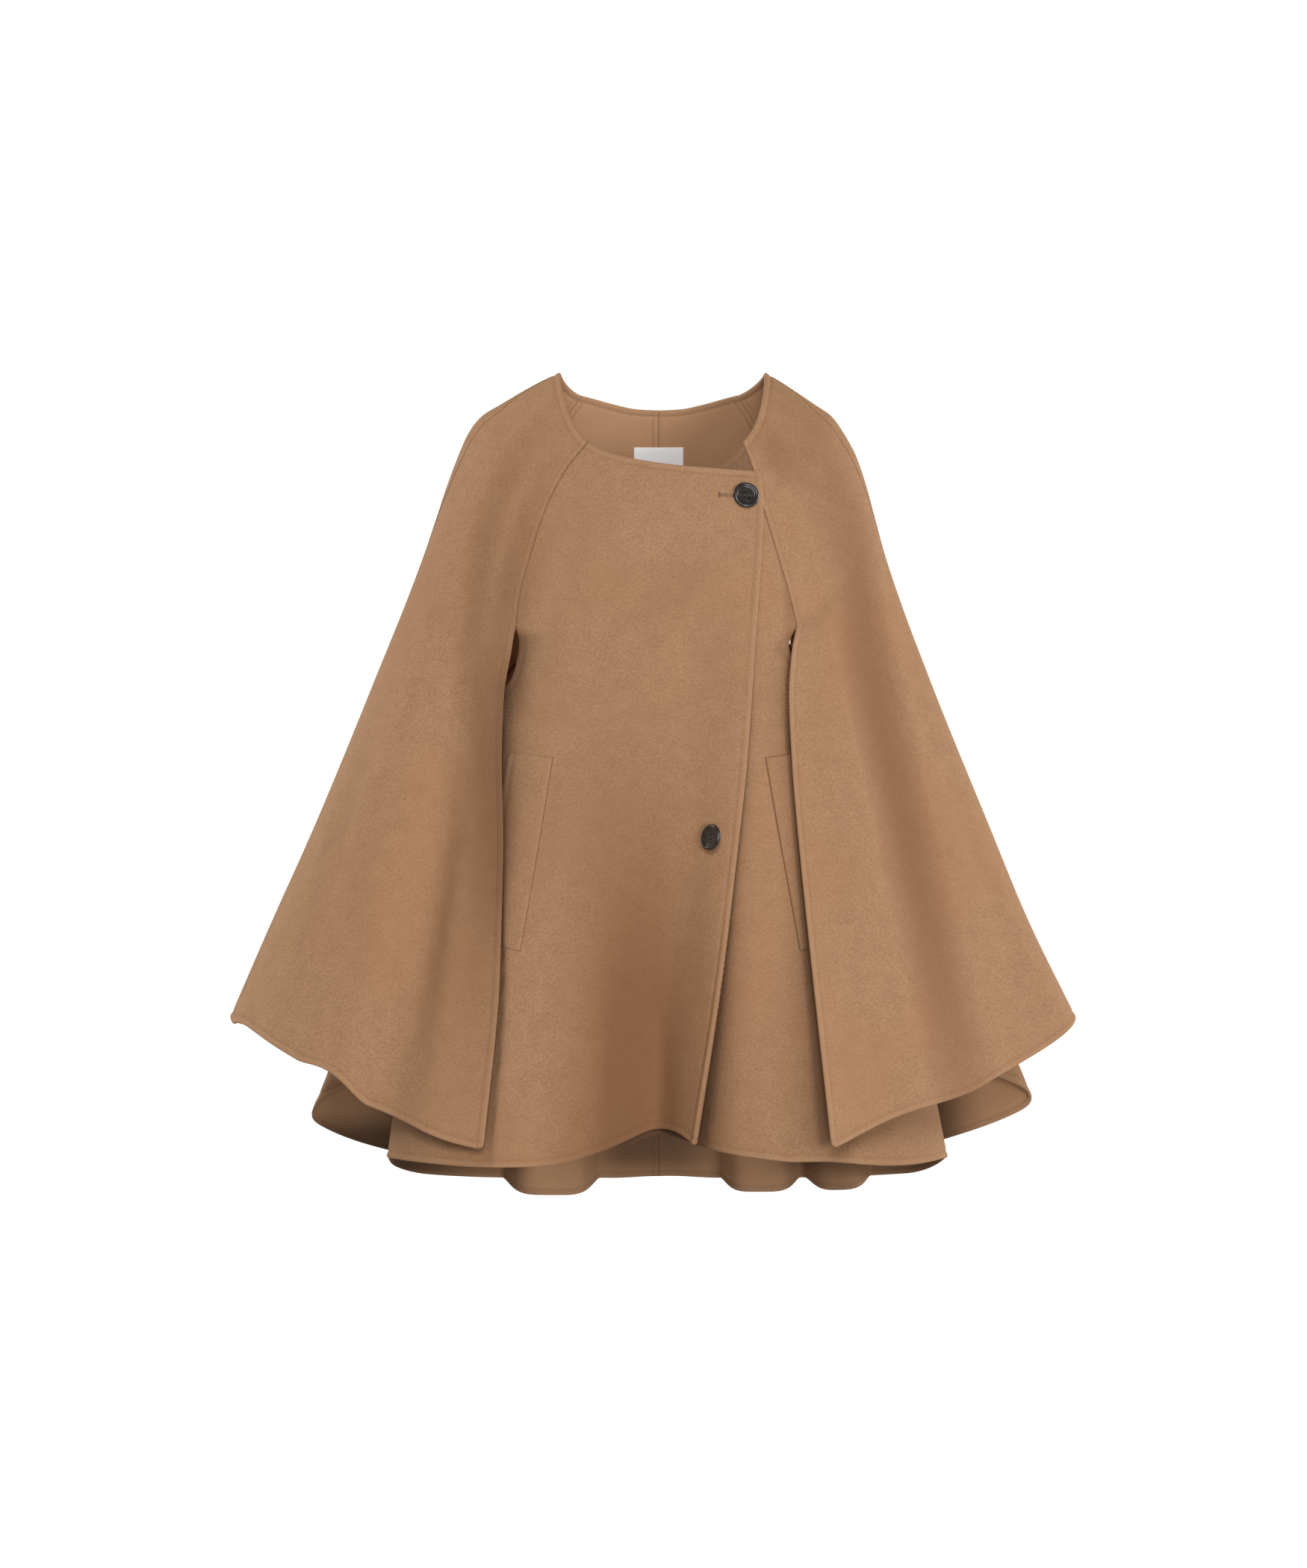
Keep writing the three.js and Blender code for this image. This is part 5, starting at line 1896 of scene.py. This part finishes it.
@dataclass
class Buttonhole:
    """A buttonhole on the right front: a slit between two rows of close stitches, with a bar at its end."""

    x: float = Fastening.top_x
    z: float = Fastening.top_z
    length: float = 25
    climb: float = 0.06
    start: float = 2.0
    spacing: float = 0.9
    inner: float = 0.15
    reach: float = 1.5
    lean: float = 0.25
    lift: float = 0.05
    bar_half: float = 2.4
    bar_reach: float = 0.9
    bar_lift: float = 0.1
    bar_stitches: int = 9
    slit_half: float = 0.45
    slit_least: float = 0.02
    slit_top: float = 0.12
    slit_foot: float = -0.5
    slit_rows: int = 30
    slit_blunt: int = 8
    thread: Thread = Thread(radius=0.36, arch=0.55)

    def spot(self, away: Array, up: Array, out: float) -> Array:
        """Points on the right front's face, by their distance along the slit and above it."""
        x, z = self.x - away, self.z + up + self.climb * away
        return FLARE.point(bearing_at(x, z), z, LAP_LIFT + out)

    def stitches(self, thread: Material) -> Piece:
        """The stitches on both sides of the slit and the bar at its end.

        Args:
            thread: Their finish.

        Returns:
            The piece.
        """
        away = np.arange(self.start, self.length, self.spacing)
        none = np.zeros_like(away)
        normal = body_normal(bearing_at(self.x - away, self.z + none), self.z + none)
        starts = [self.spot(away, none + side * self.inner, self.lift) for side in (-1, 1)]
        stops = [self.spot(away + self.lean, none + side * self.reach, 0.0) for side in (-1, 1)]
        bar = np.linspace(-self.bar_half, self.bar_half, self.bar_stitches)
        starts.append(self.spot(self.length - self.bar_reach + 0 * bar, bar, self.bar_lift))
        stops.append(self.spot(self.length + self.bar_reach + 0 * bar, bar, self.bar_lift))
        normals = np.concatenate((normal, normal, np.repeat(normal[-1:], len(bar), 0)))
        sewn = np.concatenate(starts), np.concatenate(stops), normals
        return self.thread.sew("buttonhole_thread", *sewn, thread)

    def slit(self, shade: Material) -> Piece:
        """The slit as painted shade: a thin dark bar with blunt ends, sunk into the cloth, where the cut
        would lie in shade.

        Args:
            shade: Its finish.

        Returns:
            The piece.
        """
        line = np.linspace(0, self.length, self.slit_rows)
        blunt = np.clip(1 - (2 * line / self.length - 1) ** self.slit_blunt, 0, 1)
        wide = self.slit_half * np.sqrt(blunt) + self.slit_least
        corners = ((-1, self.slit_top), (1, self.slit_top), (1, self.slit_foot), (-1, self.slit_foot))
        rows = [self.spot(line, side * wide, height) for side, height in corners]
        points = np.stack(rows, 1).reshape(-1, 3)
        caps = np.array([[0, 1, 2, 3], [3, 2, 1, 0]])
        caps[1] += 4 * (self.slit_rows - 1)
        faces = np.concatenate((grid_faces(self.slit_rows, 4, closed=True), caps))
        return mesh_piece("buttonhole_slit", points, outward(points, faces), shade)

    def dress(self, thread: Material, shade: Material) -> None:
        """Sews the slit and its bar.

        Args:
            thread: The buttonhole thread.
            shade: The painted shade of the slit.
        """
        for piece in (self.stitches(thread), self.slit(shade)):
            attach(piece, "root")


@dataclass
class LapStitches:
    """Small felling stitches on the thick lower edge of the lap, leaning to and fro."""

    start_share: float = 0.66
    end_gap: float = 6
    spacing: float = 3.1
    before: float = -0.7
    after: float = 0.8
    to_outside: float = 0.55
    to_inside: float = -0.35
    rise: float = 0.3
    fall: float = -0.4
    proud: float = 0.02
    thread: Thread = Thread(radius=0.26, arch=0.3)

    def dress(self, front: RightFront, material: Material) -> None:
        """Sews them.

        Args:
            front: The right front, built.
            material: Their thread.
        """
        edge, inner = front.points[:, 0], front.points[:, 3]
        run = run_along(edge)
        at = np.arange(self.start_share * run[-1], run[-1] - self.end_gap, self.spacing)
        lean = np.where(np.arange(len(at)) % 2 == 0, self.to_outside, self.to_inside)[:, None]
        out = sampled(unit(edge - inner), run, at)
        normals = sampled(front.normals[:, 0], run, at)
        starts = sampled(edge, run, at + self.before) + normals * (lean + self.rise) + out * self.proud
        stops = sampled(edge, run, at + self.after) + normals * (lean + self.fall) + out * self.proud
        piece = self.thread.sew("lap_stitches", starts, stops, out, material)
        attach(piece, "root")


@dataclass(frozen=True)
class Lamp:
    """A square soft light: its place, its width and its watts."""

    name: str
    place: tuple[float, float, float]
    size: float
    power: float


LAMPS = (
    Lamp("front", (0.0, -3.64, 0.95), 1.2, 64.0),
    Lamp("front_low", (0.0, -3.6, -0.9), 1.2, 16.0),
    Lamp("front_right", (1.7, -3.4, -0.5), 1.1, 46.0),
    Lamp("rim_left", (-2.9, 0.9, 1.2), 1.6, 76.0),
    Lamp("rim_right", (3.0, 0.9, 0.0), 1.6, 56.0),
)


def grey(value: float) -> Colour:
    """A linear grey."""
    return value, value, value, 1.0


@dataclass
class Studio:
    """A pale floor that curves up all round, soft lights, and the camera level with the cape's middle."""

    distance: float = 3.5
    centre_x: float = -0.0049
    centre_z: float = -0.385
    frame_height: float = 1.47
    sensor: float = 36
    far: float = 100
    floor_z: float = -1.25
    radius: float = 7.0
    curve: float = 2.0
    wall: float = 5.0
    pin: float = 1e-4
    flat_points: int = 12
    bend_points: int = 40
    round_points: int = 96
    room_light: float = 0.06
    pale: tuple[float, float] = (0.9, 0.93)
    mottle: float = 3.0
    dull: float = 0.25
    glow: tuple[float, float] = (0.05, 0.9)
    roughness: float = 0.9

    def floor_finish(self) -> Material:
        """The floor: pale to the eye, and duller in the light that it throws back.

        Returns:
            The material.
        """
        material, nodes, place = new_material("pale_floor")
        seen = nodes.add("LightPath").outputs["Is Camera Ray"]
        pale = nodes.blend(nodes.noise(place, self.mottle), *map(grey, self.pale))
        nodes.surface(
            base_color=nodes.blend(seen, grey(self.dull), pale),
            roughness=self.roughness,
            emission_color=nodes.blend(seen, *map(grey, self.glow)),
            emission_strength=1.0,
        )
        return material

    def floor(self) -> None:
        """A round floor whose rim curves up into a wall: a profile turned about the upright."""
        rim = self.radius - self.curve
        bend = np.linspace(0, np.pi / 2, self.bend_points)[1:]
        across = np.linspace(self.pin, rim, self.flat_points)
        flat = np.stack((across, np.zeros_like(across)), 1)
        rise = np.stack((rim + self.curve * np.sin(bend), self.curve * (1 - np.cos(bend))), 1)
        profile = np.concatenate((flat, rise, [[self.radius, self.wall]]))
        turn = np.linspace(0, 2 * np.pi, self.round_points, endpoint=False)
        across, height = profile[:, :1], profile[:, 1:] + self.floor_z + 0 * turn
        points = np.stack((across * np.cos(turn), across * np.sin(turn), height), -1)
        faces = grid_faces(len(profile), len(turn), closed=True)[:, ::-1]
        mesh_piece("pale_floor", points.reshape(-1, 3) / MM, faces, self.floor_finish())

    def light(self, lamp: Lamp) -> None:
        """Sets up a lamp that faces the cape.

        Args:
            lamp: Its place, width and watts.
        """
        data = bpy.data.lights.new(lamp.name, "AREA")
        data.size, data.energy = lamp.size, lamp.power
        stand = bpy.data.objects.new(lamp.name, data)
        stand.location = lamp.place
        aim = Vector((self.centre_x, 0, self.centre_z)) - Vector(lamp.place)
        stand.rotation_euler = aim.to_track_quat("-Z", "Y").to_euler()
        bpy.context.scene.collection.objects.link(stand)

    def camera(self) -> None:
        """The camera in front, with the lens that gives the frame its height at the cape's middle."""
        camera = bpy.data.cameras.new("front_view")
        camera.sensor_width = self.sensor
        camera.lens = self.sensor * self.distance / self.frame_height
        camera.clip_end = self.far
        eye = bpy.data.objects.new("front_view", camera)
        eye.location = (self.centre_x, -self.distance, self.centre_z)
        eye.rotation_euler = (np.pi / 2, 0, 0)
        bpy.context.scene.collection.objects.link(eye)
        bpy.context.scene.camera = eye

    def build(self) -> None:
        """Sets the floor, the lights, the surroundings and the camera."""
        self.floor()
        for lamp in LAMPS:
            self.light(lamp)
        world = bpy.data.worlds.new("soft_room")
        world.use_nodes = True
        background = world.node_tree.nodes["Background"]
        background.inputs["Color"].default_value = grey(1.0)
        background.inputs["Strength"].default_value = self.room_light
        bpy.context.scene.world = world
        bpy.context.scene.view_settings.view_transform = "Standard"
        self.camera()


WOOL = WoolFinish(
    name="camel_wool",
    dark=colour(158, 118, 86),
    light=colour(186, 146, 110),
    drift=colour(172, 125, 87),
    edge=colour(182, 141, 107),
    seam=colour(120, 84, 60),
    # painted shade in fold hollows, painted shadow beside other pieces, and the inner face painted lighter
    # as painted light
    painted_fold_shade=colour(126, 85, 56),
    painted_shadow=colour(50, 31, 20),
    inner=colour(206, 161, 123),
)
HORN = HornFinish(name="dark_horn", dark=colour(33, 30, 29), light=colour(64, 58, 55))
SEWING = ThreadFinish("dark_thread", colour(40, 33, 30), colour(62, 52, 46), 900.0, 0.6)
BUTTONHOLE_THREAD = ThreadFinish("brown_thread", colour(120, 82, 66), colour(150, 108, 88), 900.0, 0.7)
# painted shade: the dark finish of the buttonhole's slit
SHADE = ThreadFinish("slit_shade", colour(58, 38, 28), colour(70, 47, 35), 900.0, 0.9)
# painted light: the label's satin glows a little to brighten it, though it is no lamp
SATIN = ThreadFinish("white_satin", colour(246, 246, 246), colour(252, 252, 252), 1400.0, 0.5, 0.12)

BODY_CREASES = {
    "front_right": (
        Crease(30, 60, 120, 190, 30, -0.9),
        Crease(205, 60, 250, 260, 26, 1.1),
        Crease(120, 240, 100, 600, 34, -1.4),
        Crease(92, 330, 76, 700, 34, 0.0, 9.0),
        Crease(185, 260, 215, 610, 34, 2.2),
        Crease(222, 110, 214, 270, 16, -5.0),
        Crease(212, 60, 224, 210, 24, 0.0, 8.0, 0.0),
        Crease(36, 110, 40, 420, 34, -0.4, 4.0, 0.0),
        Crease(262, 330, 280, 560, 24, -1.3),
    ),
    "front_left": (
        Crease(160, 105, 163, 190, 14, -4.0, 12.0),
        Crease(150, 90, 185, 330, 24, 1.0),
        Crease(165, 330, 180, 600, 30, 1.8),
        Crease(196, 400, 212, 700, 22, -5.0),
    ),
    "back_right": (
        Crease(60, 120, 95, 420, 34, -1.2),
        Crease(120, 260, 150, 600, 30, 1.4),
        Crease(190, 330, 215, 640, 26, -1.4),
        Crease(30, 330, 40, 700, 30, 1.2),
    ),
    "back_left": (
        Crease(70, 160, 90, 480, 36, 1.2),
        Crease(110, 300, 135, 640, 28, -1.4),
        Crease(175, 260, 205, 620, 28, 1.3),
        Crease(25, 400, 30, 720, 26, -1.0),
    ),
}
SLEEVE_CREASES = {
    (Side.RIGHT, False): (
        Crease(6, 110, 8, 580, 46, -0.5, 24.0, 0.0),
        Crease(46, 10, 36, 330, 30, -2.0, 10.0),
        Crease(14, 20, 20, 240, 24, -0.3, 14.0, 0.0),
        Crease(52, 330, 78, 660, 26, -2.0, -6.0),
        Crease(90, 250, 165, 650, 36, 3.0),
        Crease(170, 380, 230, 620, 24, -1.4),
    ),
    (Side.RIGHT, True): (
        Crease(40, 240, 70, 520, 26, 1.3),
        Crease(90, 300, 150, 620, 28, -2.4),
        Crease(20, 430, 30, 720, 22, -1.0),
    ),
    (Side.LEFT, False): (
        Crease(25, 190, 50, 560, 30, 1.6),
        Crease(82, 40, 165, 740, 48, -3.0, 28.0, 0.0),
        Crease(18, 4, 60, 80, 22, -0.6, 14.0, 0.0),
        Crease(140, 330, 215, 620, 28, 2.0),
    ),
    (Side.LEFT, True): (
        Crease(50, 220, 80, 480, 28, -2.2),
        Crease(100, 330, 160, 640, 26, 1.3),
        Crease(25, 460, 35, 700, 22, 1.0),
    ),
}


def body_panels() -> list[ClothPanel]:
    """The two fronts and the two backs."""
    right = RightFront(
        "front_right",
        1.0,
        (0.36, 0.66, 0.206),
        columns=150,
        rows=220,
        last_gap=SEWN_GAP,
        side=Side.RIGHT,
        creases=BODY_CREASES["front_right"],
        corners=(7, 0, 5, 0),
        rests_on=("front_left_cloth",),
    )
    left = LeftFront(
        "front_left",
        -1.0,
        (0.36, 0.66, 0.182),
        columns=150,
        rows=220,
        last_gap=SEWN_GAP,
        side=Side.LEFT,
        creases=BODY_CREASES["front_left"],
    )
    backs = [
        Back(
            f"back_{side.word}",
            side.value,
            (0.36, 0.75, 0.186),
            first_gap=SEWN_GAP,
            last_gap=SEWN_GAP,
            side=side,
            at_back=True,
            creases=BODY_CREASES[f"back_{side.word}"],
        )
        for side in Side
    ]
    return [right, left, *backs]


def sleeve_pieces() -> list[ClothPanel]:
    """The front and the back piece of both sleeves."""
    return [
        SleevePiece(
            f"sleeve_{'back' if at_back else 'front'}_{side.word}",
            side.value * (1 if at_back else -1),
            (0.42, 0.8, 0.155 if at_back else 0.136),
            first_gap=SEWN_GAP,
            last_gap=SEWN_GAP,
            side=side,
            at_back=at_back,
            creases=SLEEVE_CREASES[side, at_back],
            corners=(0, 0, 7, 0),
        )
        for side in Side
        for at_back in (False, True)
    ]


def welts() -> list[ClothPanel]:
    """The pocket welts, which lie on the fronts."""
    return [
        Welt(
            f"welt_{side.word}",
            -side.value,
            (0.04, 0.18, 0.007),
            columns=52,
            rows=90,
            outer=SEAM_GAP + CLOTH,
            flat_below=True,
            seam_radius=2.6,
            held="laid",
            rests_on=(f"front_{side.word}_cloth",),
            corners=(0, 9, 0, 0),
            unevenness=0.0,
            side=side,
        )
        for side in Side
    ]


def neck_label() -> Label:
    """The label, which hangs on the two backs."""
    return Label(
        "label",
        1.0,
        (0.048, 0.038, 0.0018),
        columns=44,
        rows=40,
        outer=-(CLOTH + SEAM_GAP),
        thick=1.0,
        held="hung",
        rests_on=("back_right_cloth", "back_left_cloth"),
        unevenness=0.0,
    )


def main() -> None:
    """Builds the studio and every piece of the cape."""
    Studio().build()
    wool = WOOL.material(BrushedNap().group())
    sewing, buttonhole_thread, shade = SEWING.material(), BUTTONHOLE_THREAD.material(), SHADE.material()
    panels = body_panels() + sleeve_pieces() + welts()
    for panel in panels:
        panel.dress(wool)
    neck_label().dress(SATIN.material(), "satin")
    LapStitches().dress(panels[0], buttonhole_thread)
    Buttonhole().dress(buttonhole_thread, shade)
    Fastening().dress(HORN.material(), sewing)


if __name__ == "__main__":
    main()
